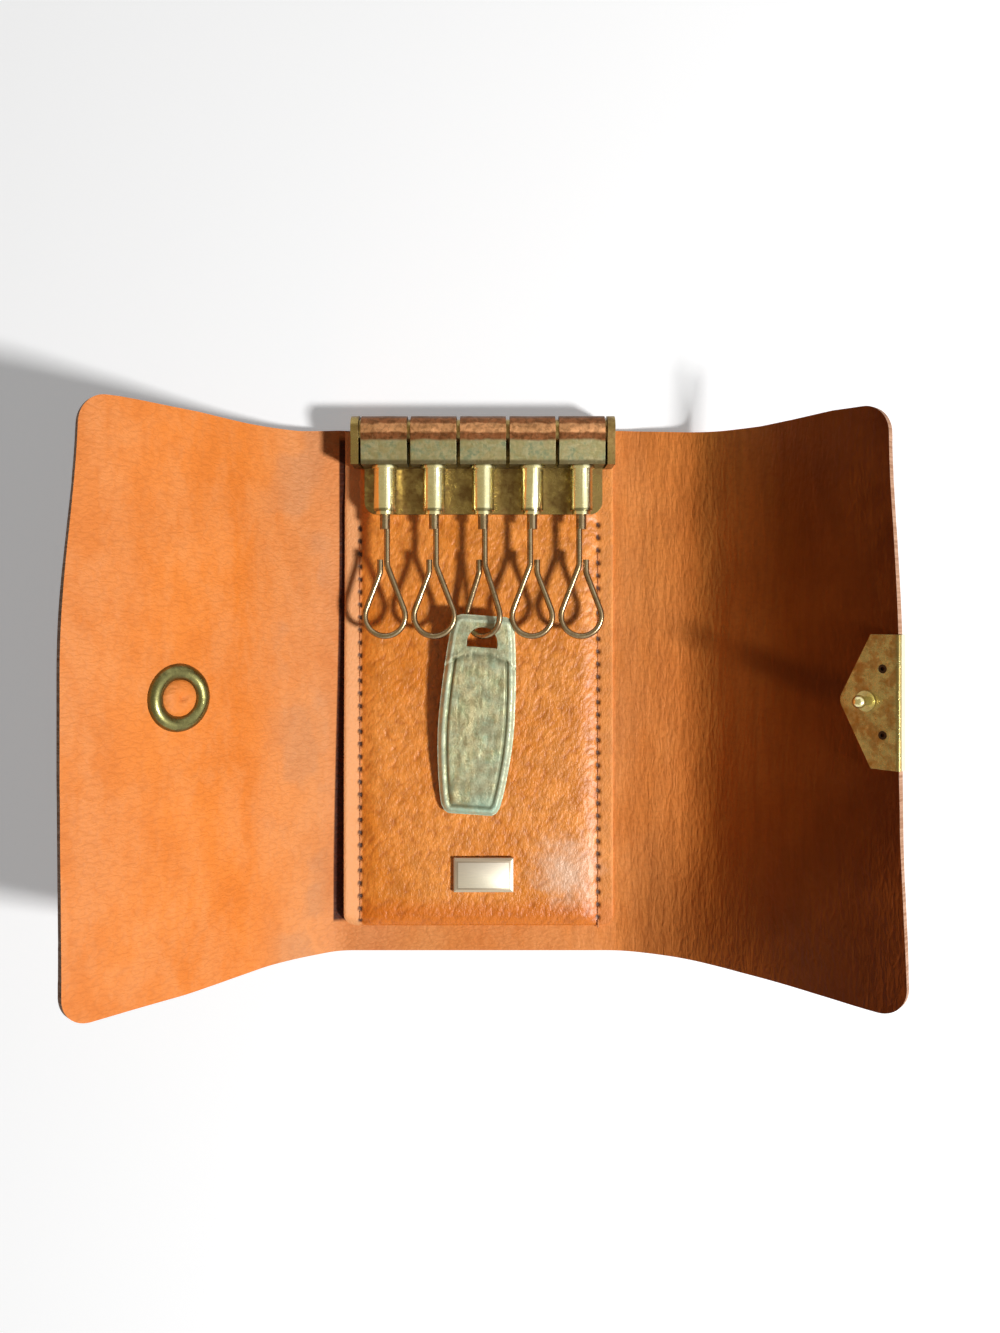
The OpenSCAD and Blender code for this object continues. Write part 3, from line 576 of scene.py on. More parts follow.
def makeStrapBrass():
    # painted reflection: a copper tone on the roll's lit side, with a painted highlight band in it; painted shade
    # along the roll's top and the strap's foot; the face below it is mottled grey-green
    tones = strapTones
    material, tree, shader = newMaterial("strapBrass", {"Metallic": 0.9})
    place = millimetres(tree)
    worn = useGroup(tree, rubbedMetal, {"Vector": place})
    patches, small = patchesOn(tree, place, 3.2), patchesOn(tree, place, 0.9)
    up = axes(tree, place)[1]
    foot, rod = boxOf("strap_1")[0].y, middleOf("hinge_rod").y
    face = tint(tree, mixColour(tree, patches, *tones["face"]), tones["speck"], small, 0.5)
    # painted shade along the strap's foot
    face = tint(tree, face, tones["foot"], between(tree, up, foot + 1.1, foot + 0.5, 0, 0.75))
    # the painted copper reflection's edges and its painted highlight band are uneven
    wavy = maths(tree, "ADD", up, times(tree, noise(tree, place, 0.5, 3), 0.9))
    copperReflection = mixColour(tree, small, *tones["copperReflection"])
    tone = mixColour(tree, between(tree, wavy, rod - 2.1, rod - 1.4), face, copperReflection)
    lit = times(tree, between(tree, wavy, rod + 1.7, rod + 1.2), between(tree, wavy, rod - 0.5, rod))
    tone = tint(tree, tone, tones["rubbed"], lit, between(tree, small, 0, 1, 0.8, 0.45))
    # painted shade along the roll's top edge
    tone = tint(tree, tone, tones["top"], between(tree, up, rod + 2, rod + 2.4, 0, 0.8))
    tone = tint(tree, tone, tones["scratch"], worn["Scratches"], 0.25)
    dress(tree, shader, {
        "Base Color": tone, "Roughness": between(tree, patches, 0, 1, 0.38, 0.55),
    }, worn["Height"], 0.35, 0.08)
    return material


tagTones = {
    "streaks": ((0.35, 0.38, 0.2), (0.56, 0.5, 0.26)), "green": (0.3, 0.42, 0.3), "beige": (0.7, 0.64, 0.4),
    "brown": (0.2, 0.14, 0.05), "rim": ((0.62, 0.66, 0.46), (0.42, 0.5, 0.36)), "foot": (0.34, 0.6, 0.48),
    "groove": (0.08, 0.09, 0.035),
}


def makeVerdigris():
    # the tag: pale green and beige crust over brass, rubbed in streaks along its length, dark in its groove
    tones = tagTones
    material, tree, shader = newMaterial("verdigris")
    place = millimetres(tree)
    streaks = noise(tree, stretched(tree, place, (0.9, 0.22, 0.6), (0, 0, -0.07)), 1, 4, 0.6, 0.6)
    patches, small = patchesOn(tree, place, 6), patchesOn(tree, place, 1.6)
    tone = mixColour(tree, between(tree, streaks, 0.36, 0.66), *tones["streaks"])
    tone = tint(tree, tone, tones["green"], patches, 0.55)
    tone = tint(tree, tone, tones["beige"], small, 0.34)
    brown = patchesOn(tree, vectors(tree, "ADD", place, (31, 7, 3)), 2.4)
    tone = tint(tree, tone, tones["brown"], brown, 0.5)
    tone = tint(tree, tone, mixColour(tree, small, *tones["rim"]), valueOn(tree, "rim"), 0.75)
    # turquoise gathers towards the tag's foot
    foot = between(tree, axes(tree, place)[1], -19, -25, 0, 0.6)
    tone = tint(tree, tone, tones["foot"], foot, patches)
    tone = tint(tree, tone, tones["groove"], valueOn(tree, "groove"), 0.8)
    worn = useGroup(tree, rubbedMetal, {"Vector": place})
    dents = maths(tree, "ADD", times(tree, small, 0.6), worn["Height"])
    dress(tree, shader, {
        "Base Color": tone, "Metallic": between(tree, patches, 0, 1, 0.5, 0.25),
        "Roughness": between(tree, small, 0, 1, 0.42, 0.6),
    }, maths(tree, "ADD", streaks, dents), 0.5, 0.14)
    return material


labelTones = {
    "plate": ((0.76, 0.69, 0.52), (0.6, 0.53, 0.42)), "brushed": (0.5, 0.46, 0.38), "rim": (0.5, 0.38, 0.24),
    "line": (0.2, 0.13, 0.07),
}


def makeNickel():
    # brushed plate with a dull bronze rim and a dark line inside it, by the distance in from the nearest side
    tones = labelTones
    material, tree, shader = newMaterial("nickel", {"Metallic": 0.4})
    place = millimetres(tree)
    across, up = axes(tree, place)[:2]
    low, high = boxOf("label_plate")
    brushed = noise(tree, stretched(tree, place, (0.4, 9, 3)), 1, 3, 0.6)
    tone = mixColour(tree, between(tree, up, low.y + 1, high.y), *tones["plate"])
    tone = tint(tree, tone, tones["brushed"], between(tree, brushed, 0.4, 0.65, 0, 0.3))
    inset = maths(tree, "SUBTRACT", across, low.x)
    for a, b in ((high.x, across), (up, low.y), (high.y, up)):
        inset = maths(tree, "MINIMUM", inset, maths(tree, "SUBTRACT", a, b))
    tone = tint(tree, tone, tones["rim"], between(tree, inset, 0.85, 0.7, 0, 0.55))
    line = times(tree, between(tree, inset, 0.6, 0.72), between(tree, inset, 1, 0.85, 0, 0.6))
    tone = tint(tree, tone, tones["line"], line)
    dress(tree, shader, {
        "Base Color": tone, "Roughness": between(tree, brushed, 0.3, 0.7, 0.4, 0.5),
    }, brushed, 0.2, 0.04)
    return material


def makeBoard():
    material, tree, shader = newMaterial("board", {"Roughness": 0.85})
    fibres = noise(tree, millimetres(tree), 2.5, 5, 0.7)
    tone = mixColour(tree, fibres, *plainTones["board"])
    dress(tree, shader, {"Base Color": tone}, fibres, 0.3, 0.1)
    return material


def makeSpringSteel():
    material, tree, shader = newMaterial("springSteel", {"Metallic": 1})
    drawn = noise(tree, millimetres(tree), 6, 3)
    tone = mixColour(tree, drawn, *plainTones["spring"])
    fillInputs(tree, shader, {
        "Base Color": tone, "Roughness": between(tree, drawn, 0.3, 0.7, 0.25, 0.4),
    })
    return material


finishes = {name: makePlating(name, *values) for name, values in platings.items()}
finishes |= {
    "lining": makeLiningLeather(), "outer": makeOuterLeather(), "panel": makePanelLeather(),
    "cutEdge": makeCutEdge(), "thread": makeThread(), "strap": makeStrapBrass(),
    "claspBrass": makeClaspBrass(), "verdigris": makeVerdigris(), "nickel": makeNickel(),
    "board": makeBoard(), "springSteel": makeSpringSteel(),
}
print("materials made:", len(finishes))


def ease(t):
    # 0 below 0, 1 above 1 and 3t^2 - 2t^3 between
    t = np.clip(t, 0, 1)
    return t * t * (3 - 2 * t)


def softNoise(x, y, size, height, seed):
    # random values up to that height on a square lattice of that size, joined by an eased mix of the corners
    period = 64
    table = np.random.default_rng(seed).uniform(-1, 1, (period, period)) * height
    u, v = x / size, y / size
    i, j = np.floor(u).astype(int), np.floor(v).astype(int)
    shareU, shareV = ease(u - i), ease(v - j)
    near, far = [
        table[i % period, k % period] * (1 - shareU) + table[(i + 1) % period, k % period] * shareU
        for k in (j, j + 1)
    ]
    return near * (1 - shareV) + far * shareV


def gridFaces(rows, columns, closed=False):
    # four corners for each cell of a grid whose points run row by row; a closed grid joins its last column
    # to its first
    i, j = np.meshgrid(np.arange(rows - 1), np.arange(columns - (not closed)), indexing="ij")
    a, b = i * columns + j, i * columns + (j + 1) % columns
    return np.stack([a, a + columns, b + columns, b], -1).reshape(-1, 4)


def makeMesh(name, points, faces, material, flat=None, sharp=50):
    # flat gives each point its place on the map "flat", in metres
    mesh = bpy.data.meshes.new(name)
    mesh.from_pydata(points, [], faces)
    mesh.polygons.foreach_set("use_smooth", np.full(len(mesh.polygons), True))
    mesh.update()
    mesh.set_sharp_from_angle(angle=math.radians(sharp))
    if flat is not None:
        corner = np.empty(len(mesh.loops), dtype=np.int32)
        mesh.loops.foreach_get("vertex_index", corner)
        mesh.uv_layers.new(name="flat").data.foreach_set("uv", flat[corner].astype(np.float32).ravel())
    mesh.materials.append(material)
    return linkObject(name, mesh)


def addValues(piece, values):
    # the upper and the lower face of a piece carry the same values
    for name, value in values.items():
        twice = np.concatenate([value.ravel(), value.ravel()]).astype(np.float32)
        piece.data.attributes.new(name, "FLOAT", "POINT").data.foreach_set("value", twice)


def surfaceNormals(surface):
    # the cross product of the two directions in which a grid surface runs
    normal = np.cross(np.gradient(surface, axis=0), np.gradient(surface, axis=1))
    return normal / np.linalg.norm(normal, axis=-1, keepdims=True)


def solidSheet(name, upper, lower, material, flat, kept=None):
    # upper and lower are grids of the same size; strips join them as cut edges at the rim and round a hole
    rows, columns = upper.shape[:2]
    count = rows * columns
    points = np.concatenate([upper.reshape(-1, 3), lower.reshape(-1, 3)])
    top = gridFaces(rows, columns)
    if kept is not None:
        top = top[kept.ravel()]
    # a side that only one face has is on the rim; the strip's face runs along it the other way
    edges = np.concatenate([top[:, [k, (k + 1) % 4]] for k in range(4)])
    pairs = edges.min(1) * count + edges.max(1)
    _, first, uses = np.unique(pairs, return_index=True, return_counts=True)
    rim = edges[first[uses == 1]]
    sides = np.stack([rim[:, 1], rim[:, 0], rim[:, 0] + count, rim[:, 1] + count], -1)
    faces = np.concatenate([top, top[:, ::-1] + count, sides])
    both = np.concatenate([flat.reshape(-1, 2), flat.reshape(-1, 2)])
    used, faces = np.unique(faces, return_inverse=True)
    points, both, faces = points[used], both[used], faces.reshape(-1, 4)
    piece = makeMesh(name, points * mm, faces, material, both * mm)
    piece.data.materials.append(finishes["cutEdge"])
    kind = np.zeros(len(faces), dtype=np.int32)
    kind[-len(sides):] = 1
    piece.data.polygons.foreach_set("material_index", kind)
    return piece


liningBox = boxOf("back_lining")
halfHeight = liningBox[1].y
liningZ = liningBox[1].z
jointPlace = {j["name"]: Vector(j["pos_m"]) / mm for j in frame["joints"]}

# Leather and lining of the whole case, in millimetres: the two thicknesses, the free corners' radius, half
# the length of a fold's curve and of its bend in a pose, how fine the surface is, and the snap's hole.
# swell and ripple are the worn surface's two waves: (size, height, seed), the second shifted and stretched
# up the fold. They begin "plain" from the middle line, where the ring and the clasp are, and grow over
# "fade".
sheetSizes = {
    "leather": 0.8, "lining": 0.5, "corner": 5, "rounding": 5, "blend": 4.5, "step": 0.65, "arcSteps": 14,
    "hole": 3.7, "swell": (13, 0.28, 5), "ripple": (4.5, 0.07, 6), "rippleShift": 40, "rippleShare": 0.6,
    "plain": 11, "fade": 8, "samples": 4000, "passes": 6,
}

# Slopes of the free leather in degrees, by distance from the spine's fold, at the case's two ends. They
# show beyond endStart of the half height, and topShare is how much of the top ones does. From easeFrom
# past the cover's fold on, the left cover eases to its slope "ease". trim is how far the top edge is cut
# in, by the same distance, spare how much longer the cover is than its solid, and skew how much shorter
# it is at the top.
flapSlopes = {
    "left": {
        "top": [
            (-3, 0), (3, 6), (9, 18), (14, 42), (21, 58), (28, 64), (40, 62), (46, 54), (51, 34), (56, 22),
        ],
        "bottom": [(-3, 0), (3, 34), (10, 38), (17, 52), (26, 54), (36, 45), (48, 46), (56, 46)],
        "trim": [(0, 0), (8, 0.65), (20, 0.6), (31, 0.15), (48, 0), (56, 0.3)],
        "spare": 0.8, "ease": 45, "topShare": 0.28, "skew": 2.2,
    },
    "right": {
        "top": [(-3, 0), (12, 0), (18, 10), (24, 36), (30, 59), (38, 68), (44, 63), (50, 38), (57, 28)],
        "bottom": [(-3, 0), (3, 17), (9, 25), (18, 38.5), (31, 46.5), (42, 49), (50, 46), (57, 38)],
        "trim": [(0, 0), (14, 0.75), (22, 1.15), (30, 1.4), (37, 1.2), (46, 0.75), (57, 1.0)],
        "spare": 0.2, "ease": None, "topShare": 0.15, "skew": 1.5,
    },
    "endStart": 0.24, "trimStart": 0.2, "skewStart": 0.1, "easeFrom": 29.5,
}


def flapSizes(side):
    # lengths out to the folds and the edge, and the two slopes: the angle of each piece's rise over its run
    sign = -1 if side == "left" else 1
    fold, crease = jointPlace[f"{side}_spine_fold"], jointPlace[f"{side}_cover_fold"]
    low, high = boxOf(f"{side}_cover_lining")
    spine = Vector((abs(crease.x) - abs(fold.x), crease.z - fold.z))
    slope = math.pi / 4
    for _ in range(sheetSizes["passes"]):
        # the lining's outermost corner lies its thickness behind its upper face, so slope and run settle
        run = max(abs(low.x), abs(high.x)) - sheetSizes["lining"] * math.sin(slope) - abs(crease.x)
        slope = math.atan2(high.z - crease.z, run)
    cover = math.hypot(run, high.z - crease.z)
    return {
        "sign": sign, "fold": abs(fold.x), "crease": abs(fold.x) + spine.length, "cover": cover,
        "spineSlope": math.atan2(spine.y, spine.x), "coverSlope": slope,
        "end": abs(fold.x) + spine.length + cover + flapSlopes[side]["spare"],
    }


def curvePlaces(stations, s, start):
    # place = start + running sum of step * direction, the direction mixed evenly between stations
    fine = np.linspace(0, s.max(), sheetSizes["samples"])
    where, slopes = np.array(stations, dtype=float).T
    step = np.diff(fine)
    places = []
    for first, direction in zip(start, (np.cos(slopes), np.sin(slopes))):
        along = np.interp(fine, where, direction)
        total = np.concatenate([[0], np.cumsum((along[1:] + along[:-1]) / 2 * step)])
        places.append(first + np.interp(s, fine, total))
    return places


def flapSurface(side, sizes, s, v):
    # places on the lining's face: s runs outwards from the case's middle, v from -1 to 1 along the fold;
    # place = share of the top's profile + share of the bottom's + the rest of the middle's, at that s
    r, fold, crease, end = sheetSizes["rounding"], sizes["fold"], sizes["crease"], sizes["end"]
    spineSlope, coverSlope = sizes["spineSlope"], sizes["coverSlope"]
    slopes = flapSlopes[side]
    last = coverSlope if slopes["ease"] is None else math.radians(slopes["ease"])
    profiles = {"middle": [
        (0, 0), (fold - r, 0), (fold + r, spineSlope), (crease - r, spineSlope), (crease + r, coverSlope),
        (crease + flapSlopes["easeFrom"], coverSlope), (end, last),
    ]}
    for k in ("top", "bottom"):
        profiles[k] = [(0, 0)] + [(fold + d, math.radians(t)) for d, t in slopes[k]]
    # the free corners are arcs: the half height falls there as the square root of r^2 - over^2
    corner = sheetSizes["corner"]
    over = np.clip(s - (end - corner), 0, corner)
    half = halfHeight - corner + np.sqrt(corner**2 - over**2)
    y = v[None, :] * half[:, None]
    share = y / halfHeight
    distance, cut = np.array(slopes["trim"], dtype=float).T
    trimmed = ease((share - flapSlopes["trimStart"]) / (1 - flapSlopes["trimStart"]))
    y = y - np.interp(s - fold, distance, cut)[:, None] * trimmed
    beyond = np.clip((s - crease) / (end - crease), 0, 1)**2
    skewed = ease((share - flapSlopes["skewStart"]) / (1 - flapSlopes["skewStart"]))
    reach = s[:, None] - slopes["skew"] * skewed * beyond[:, None]
    # each point mixes the middle's profile with that of its end
    start = flapSlopes["endStart"]
    weights = {
        "top": slopes["topShare"] * ease((share - start) / (1 - start)),
        "bottom": ease((-share - start) / (1 - start)),
    }
    weights["middle"] = 1 - weights["top"] - weights["bottom"]
    x, z = sum(np.array(curvePlaces(profiles[k], reach, (0, liningZ))) * weights[k] for k in weights)
    surface = np.stack([sizes["sign"] * x, y, z], -1)
    if len(s) < 3:
        return surface
    # worn unevenness: two sizes of soft noise, none near the ring, the clasp and the case's bottom
    along = sizes["sign"] * s[:, None] + 0 * y
    fade = sheetSizes["fade"]
    free = ease((s[:, None] - fold) / fade) * ease((np.abs(y) - sheetSizes["plain"]) / fade)
    shifted, shorter = along + sheetSizes["rippleShift"], y * sheetSizes["rippleShare"]
    wear = softNoise(along, y, *sheetSizes["swell"]) + softNoise(shifted, shorter, *sheetSizes["ripple"])
    return surface + surfaceNormals(surface) * (wear * free)[..., None]


def flapStations(sizes, low, high):
    # even steps, and at the free edge steps that follow the corner's arc
    step, corner = sheetSizes["step"], sheetSizes["corner"]
    if high < sizes["end"]:
        return np.linspace(low, high, int((high - low) / step) + 1)
    straight = np.linspace(low, high - corner, int((high - corner - low) / step) + 1)
    arc = high - corner + corner * np.sin(np.linspace(0, math.pi / 2, sheetSizes["arcSteps"]))
    return np.concatenate([straight, arc[1:]])


def coverFrame(sizes):
    # the left cover's own directions, outwards and away from its face, and how far out the snap's middle lies
    slope = sizes["coverSlope"]
    along = Vector((-math.cos(slope), 0, math.sin(slope)))
    normal = Vector((math.sin(slope), 0, math.cos(slope)))
    centre = middleOf("snap_ring")
    return along, normal, centre, (centre - jointPlace["left_cover_fold"]).dot(along)


def clearOfSnap(sizes, out, up):
    # False for the cells in the hole that the snap's socket sits in
    _, _, centre, snapOut = coverFrame(sizes)
    middleOut, middleUp = [(c[:-1, :-1] + c[1:, 1:]) / 2 for c in (out, up)]
    away = np.hypot(middleOut - sizes["crease"] - snapOut, middleUp - centre.y)
    return away > sheetSizes["hole"]


def makeFlapLeather(side):
    # two sheets, cut at the seam half way up the spine, of two layers each: place = face - normal * depth
    sizes = flapSizes(side)
    sign = sizes["sign"]
    seam = (sizes["fold"] + sizes["crease"]) / 2
    v = np.linspace(-1, 1, int(2 * halfHeight / sheetSizes["step"]) + 1)
    layers = {"lining": (0, sheetSizes["lining"]), "leather": (sheetSizes["lining"], sheetSizes["leather"])}
    ranges = {
        "inner": (0, seam, "case", f"{side}_spine", sizes["fold"], "back"),
        "outer": (seam, sizes["end"], f"{side}_spine", f"{side}_cover", sizes["crease"], f"{side}_cover"),
    }
    for part, (low, high, bodyA, bodyB, joint, other) in ranges.items():
        s = flapStations(sizes, low, high)
        face = flapSurface(side, sizes, s, v)
        normal = surfaceNormals(face) * sign
        out, up = s[:, None] + 0 * face[..., 1], face[..., 1]
        flat = np.stack([sign * out, up], -1)
        kept = clearOfSnap(sizes, out, up)[::sign] if side == "left" and part == "outer" else None
        blend = sheetSizes["blend"]
        marks = flapSurface(side, sizes, np.array([joint - blend, joint + blend]), np.zeros(1))[:, 0] * mm
        for layer, (depth, thick) in layers.items():
            upper, lower = face - normal * depth, face - normal * (depth + thick)
            finish = finishes["lining" if layer == "lining" else "outer"]
            name = f"{side}_{part}_{layer}"
            piece = solidSheet(name, upper[::sign], lower[::sign], finish, flat[::sign], kept)
            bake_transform(piece)
            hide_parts(f"{side}_spine_{layer}", f"{other}_{layer}")
    return sizes


flaps = {side: makeFlapLeather(side) for side in ("left", "right")}
print("leather made:", {k: [round(float(x), 3) for x in f.values()] for k, f in flaps.items()})

# The key panel, in millimetres: its side margins' width and height, their rounded rim, the padded edge's
# slope, the roll at its foot, and the leather's pebbles, wrinkles and waves (size, depth, seed). The pebbles
# lean and are stretched, warped by two noises. marginSmooth is how much of the relief a margin loses. The
# last three say where the hollows' dark tone begins, how fast it grows and how much of it a margin loses.
panelSizes = {
    "step": 0.3, "corner": 2.5, "margin": 3.0, "marginHeight": 0.8, "marginLap": 0.1, "marginFade": 0.7,
    "rim": 0.5, "rimStart": 0.35, "rimShare": 0.72, "slope": 4.2, "roll": 2.4, "holeDepth": 0.3,
    "pebbles": (0.9, 0.15, 3), "finePebbles": (0.45, 0.06, 4), "fineStretch": (1.1, 1.4),
    "wrinkles": (0.75, 0.09, 23), "swell": (9, 0.08, 8), "lean": (0.9, 0.44), "stretch": 0.5,
    "warp": [(3.5, 0.8, 21), (4.5, 0.5, 22)], "plateEdge": 1.2, "marginSmooth": 0.7,
    "hollowStart": 0.2, "hollowGain": 1.6, "hollowLess": 0.6,
}
# The left margin has come up off the lining: how far, over what width, where it ends at the top and how it
# fades at both ends. Above growsBelow only the least share of it shows, and it grows to the whole over the
# length after that.
looseMargin = {
    "lift": 1.9, "width": 3.6, "top": 42, "topFade": 6, "footFade": 3, "least": 0.3, "growsBelow": 34,
    "growsOver": 60,
}
seamSizes = {
    "inset": 3.05, "top": 33, "bottom": -45.6, "pitch": 2.55, "slant": 0.25, "hole": (0.42, 0.62),
    "holeStart": 0.75, "holeFade": 0.5, "ends": 1,
}
stitchSizes = {
    "thread": 0.2, "half": 0.36, "flat": 0.8, "dip": 0.28, "dipPower": 4, "endPower": 6, "endShare": 0.98,
    "least": 0.02, "rings": 7, "around": 8,
}


def pebbleHollows(x, y, size, depth, seed):
    # hollows between lumps round scattered points: the depth times the square of the distance from a point
    period, shift = 96, 200
    jitter = np.random.default_rng(seed).uniform(0.08, 0.92, (period, period, 2))
    u, v = x / size + shift, y / size + shift
    i, j = np.floor(u).astype(int), np.floor(v).astype(int)
    nearest = np.full(x.shape, 9.0)
    for di in (-1, 0, 1):
        for dj in (-1, 0, 1):
            spot = jitter[(i + di) % period, (j + dj) % period]
            nearest = np.minimum(nearest, (i + di + spot[..., 0] - u)**2 + (j + dj + spot[..., 1] - v)**2)
    return depth * np.clip(nearest, 0, 1)


def panelHeight(x, y, low, high):
    # a low margin at the sides and a raised middle that rolls down at the foot; also where the margin is
    sizes, loose = panelSizes, looseMargin
    side = (high.x - low.x) / 2 - np.abs(x - (high.x + low.x) / 2)
    up = y - low.y
    # steep at the seam, which pulls the panel down, and level where the padding ends
    inward = np.clip((side - sizes["margin"]) / sizes["slope"], 0, 1)
    rise = (1 - (1 - inward)**2) * np.sqrt(ease(up / sizes["roll"]))
    rounded = ease(np.minimum(side, up) / sizes["rim"] + sizes["rimStart"])
    rim = sizes["rimShare"] + (1 - sizes["rimShare"]) * rounded
    base = sizes["marginHeight"] * rim + (high.z - low.z - sizes["marginHeight"]) * rise
    # the loose margin curls up more towards the foot
    growth = loose["least"] + (1 - loose["least"]) * ease((loose["growsBelow"] - y) / loose["growsOver"])
    ends = ease((loose["top"] - y) / loose["topFade"]) * ease(up / loose["footFade"])
    curl = growth * ends * ease((low.x + loose["width"] - x) / loose["width"])
    margin = 1 - ease((side - sizes["margin"] + sizes["marginLap"]) / sizes["marginFade"])
    return base + loose["lift"] * curl, margin


def seamHoles(x, y, low, high):
    # 1 inside the slanting oval holes of the two seams, 0 outside: reach = hypotenuse of the two distances
    # from the nearest hole's middle, each over the hole's own radius
    sizes = seamSizes
    side = np.minimum(x - low.x, high.x - x) - sizes["inset"]
    phase = (y - sizes["bottom"] + sizes["slant"] * (x - low.x)) / sizes["pitch"]
    gap = (phase - np.round(phase)) * sizes["pitch"]
    reach = np.hypot(side / sizes["hole"][0], gap / sizes["hole"][1])
    inRow = (y > sizes["bottom"] - sizes["ends"]) & (y < sizes["top"] + sizes["ends"])
    return (1 - ease((reach - sizes["holeStart"]) / sizes["holeFade"])) * inRow


def makePanel():
    # height = margin or padded middle - pebbles and wrinkles + waves - holes, over a flat foot
    sizes = panelSizes
    low, high = boxOf("key_panel")
    columns = int((high.y - low.y) / sizes["step"]) + 1
    rows = int((high.x - low.x) / sizes["step"]) + 1
    y = np.linspace(low.y, high.y, columns)
    # each row of points is as wide as the outline there, so that the corners are round
    drop = np.clip(low.y + sizes["corner"] - y, 0, sizes["corner"])
    half = (high.x - low.x) / 2 - sizes["corner"] + np.sqrt(np.maximum(sizes["corner"]**2 - drop**2, 0.01))
    x = (low.x + high.x) / 2 + np.linspace(-1, 1, rows)[:, None] * half[None, :]
    y = y[None, :] + 0 * x
    height, margin = panelHeight(x, y, low, high)
    hole = seamHoles(x, y, low, high)
    # the lumps lean to the right and are about twice as long as wide, warped by a soft noise
    along, aside = sizes["lean"]
    turnX = x * along - y * aside + softNoise(x, y, *sizes["warp"][0])
    turnY = (y * along + x * aside) * sizes["stretch"] + softNoise(x, y, *sizes["warp"][1])
    hollows = pebbleHollows(turnX, turnY, *sizes["pebbles"])
    wider, longer = sizes["fineStretch"]
    fine = pebbleHollows(turnX * wider, turnY * longer, *sizes["finePebbles"])
    wrinkles = np.abs(softNoise(turnX, turnY, *sizes["wrinkles"]))
    # smooth under the mounting plate, and less deep on the margins
    clear = 1 - ease((y - boxOf("mounting_plate")[0].y) / sizes["plateEdge"] + 1)
    relief = (hollows + fine + wrinkles) * (1 - sizes["marginSmooth"] * margin) * clear
    swell = (softNoise(x, y, *sizes["swell"]) - sizes["swell"][1]) * clear * (1 - margin)
    top = np.stack([x, y, low.z + height - relief + swell - sizes["holeDepth"] * hole], -1)
    foot = np.stack([x, y, 0 * x + low.z], -1)
    piece = solidSheet("panel_leather", top, foot, finishes["panel"], np.stack([x, y], -1))
    dark = ease(hollows / sizes["pebbles"][1] * sizes["hollowGain"] - sizes["hollowStart"])
    hollow = dark * (1 - sizes["hollowLess"] * margin) * clear
    addValues(piece, {"hollow": hollow, "margin": margin, "hole": hole})
    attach(piece, "case")
    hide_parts("key_panel")
    return low, high


def makeStitches(low, high):
    # each stitch is a short thick thread with round ends that dips into the hole at either end
    seam, sizes = seamSizes, stitchSizes
    rings, across = sizes["rings"], sizes["around"]
    t = np.linspace(-1, 1, rings)[:, None]
    around = np.linspace(0, 2 * math.pi, across + 1)[:-1]
    ends = (t * sizes["endShare"])**sizes["endPower"]
    radius = sizes["thread"] * np.sqrt(np.clip(1 - ends, sizes["least"], 1))
    walls = gridFaces(rings, across, closed=True).tolist()
    caps = [list(range(across)), list(range((rings - 1) * across, rings * across))[::-1]]
    points, faces = [], []
    for x in (low.x + seam["inset"], high.x - seam["inset"]):
        for k in range(int((seam["top"] - seam["bottom"]) / seam["pitch"])):
            y = seam["bottom"] + (k + 0.5) * seam["pitch"] - seam["slant"] * (x - low.x) % seam["pitch"]
            z = low.z + panelHeight(np.array([[x]]), np.array([[y]]), low, high)[0][0, 0]
            ring = np.stack([
                x + radius * np.cos(around), y + t * sizes["half"] * seam["pitch"] + 0 * around,
                z - sizes["dip"] * np.abs(t)**sizes["dipPower"] + radius * sizes["flat"] * np.sin(around),
            ], -1)
            first = len(points) * rings * across
            points.append(ring.reshape(-1, 3))
            faces += [[first + corner for corner in face] for face in walls + caps]
    piece = makeMesh("seam_threads", np.concatenate(points) * mm, faces, finishes["thread"])
    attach(piece, "case")


panelBox = makePanel()
makeStitches(*panelBox)
print("panel and seams made")

# The leather that bulges up inside the ring, in millimetres, with a small dimple at that place and creases
# (size, height, seed)
domeSizes = {
    "hub": 0.02, "radius": 3.35, "height": 1.32, "foot": 3.4, "power": 2.6, "lift": 0.02, "rows": 24,
    "around": 56, "dimple": 0.6, "dimplePlace": (-0.2, 0.1), "dimpleWidth": 0.7, "crease": (1.1, 0.07, 12),
    "creaseShift": 9,
}


def makeRingDome():
    # height = full height * square root of 1 - (distance / foot)^power, less a dimple shaped as a bell
    sizes, cover = domeSizes, flaps["left"]
    along, normal, centre, out = coverFrame(cover)
    foot = jointPlace["left_cover_fold"] + along * out
    foot.y = centre.y
    rows, columns = sizes["rows"], sizes["around"]
    r = np.linspace(sizes["hub"], sizes["radius"], rows)[:, None]
    turns = np.linspace(0, 2 * math.pi, columns + 1)[:-1]
    x, y = r * np.cos(turns), r * np.sin(turns)
    height = sizes["height"] * np.sqrt(np.clip(1 - (r / sizes["foot"])**sizes["power"], 0, 1)) + sizes["lift"]
    offX, offY = x - sizes["dimplePlace"][0], y - sizes["dimplePlace"][1]
    height = height - sizes["dimple"] * np.exp(-(offX**2 + offY**2) / sizes["dimpleWidth"])
    height = height + softNoise(x + sizes["creaseShift"], y + sizes["creaseShift"], *sizes["crease"])
    up = Vector((0, 1, 0))
    place = [foot[k] + along[k] * x + up[k] * y + normal[k] * height for k in range(3)]
    faces = gridFaces(rows, columns, closed=True)[:, ::-1].tolist()
    faces += [list(range(columns)), list(range((rows - 1) * columns, rows * columns))[::-1]]
    flat = np.stack([-(cover["crease"] + out) - x, centre.y + y], -1).reshape(-1, 2) * mm
    points = np.stack(place, -1).reshape(-1, 3) * mm
    piece = makeMesh("ring_dome", points, faces, finishes["lining"], flat)
    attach(piece, "left_cover")


makeRingDome()


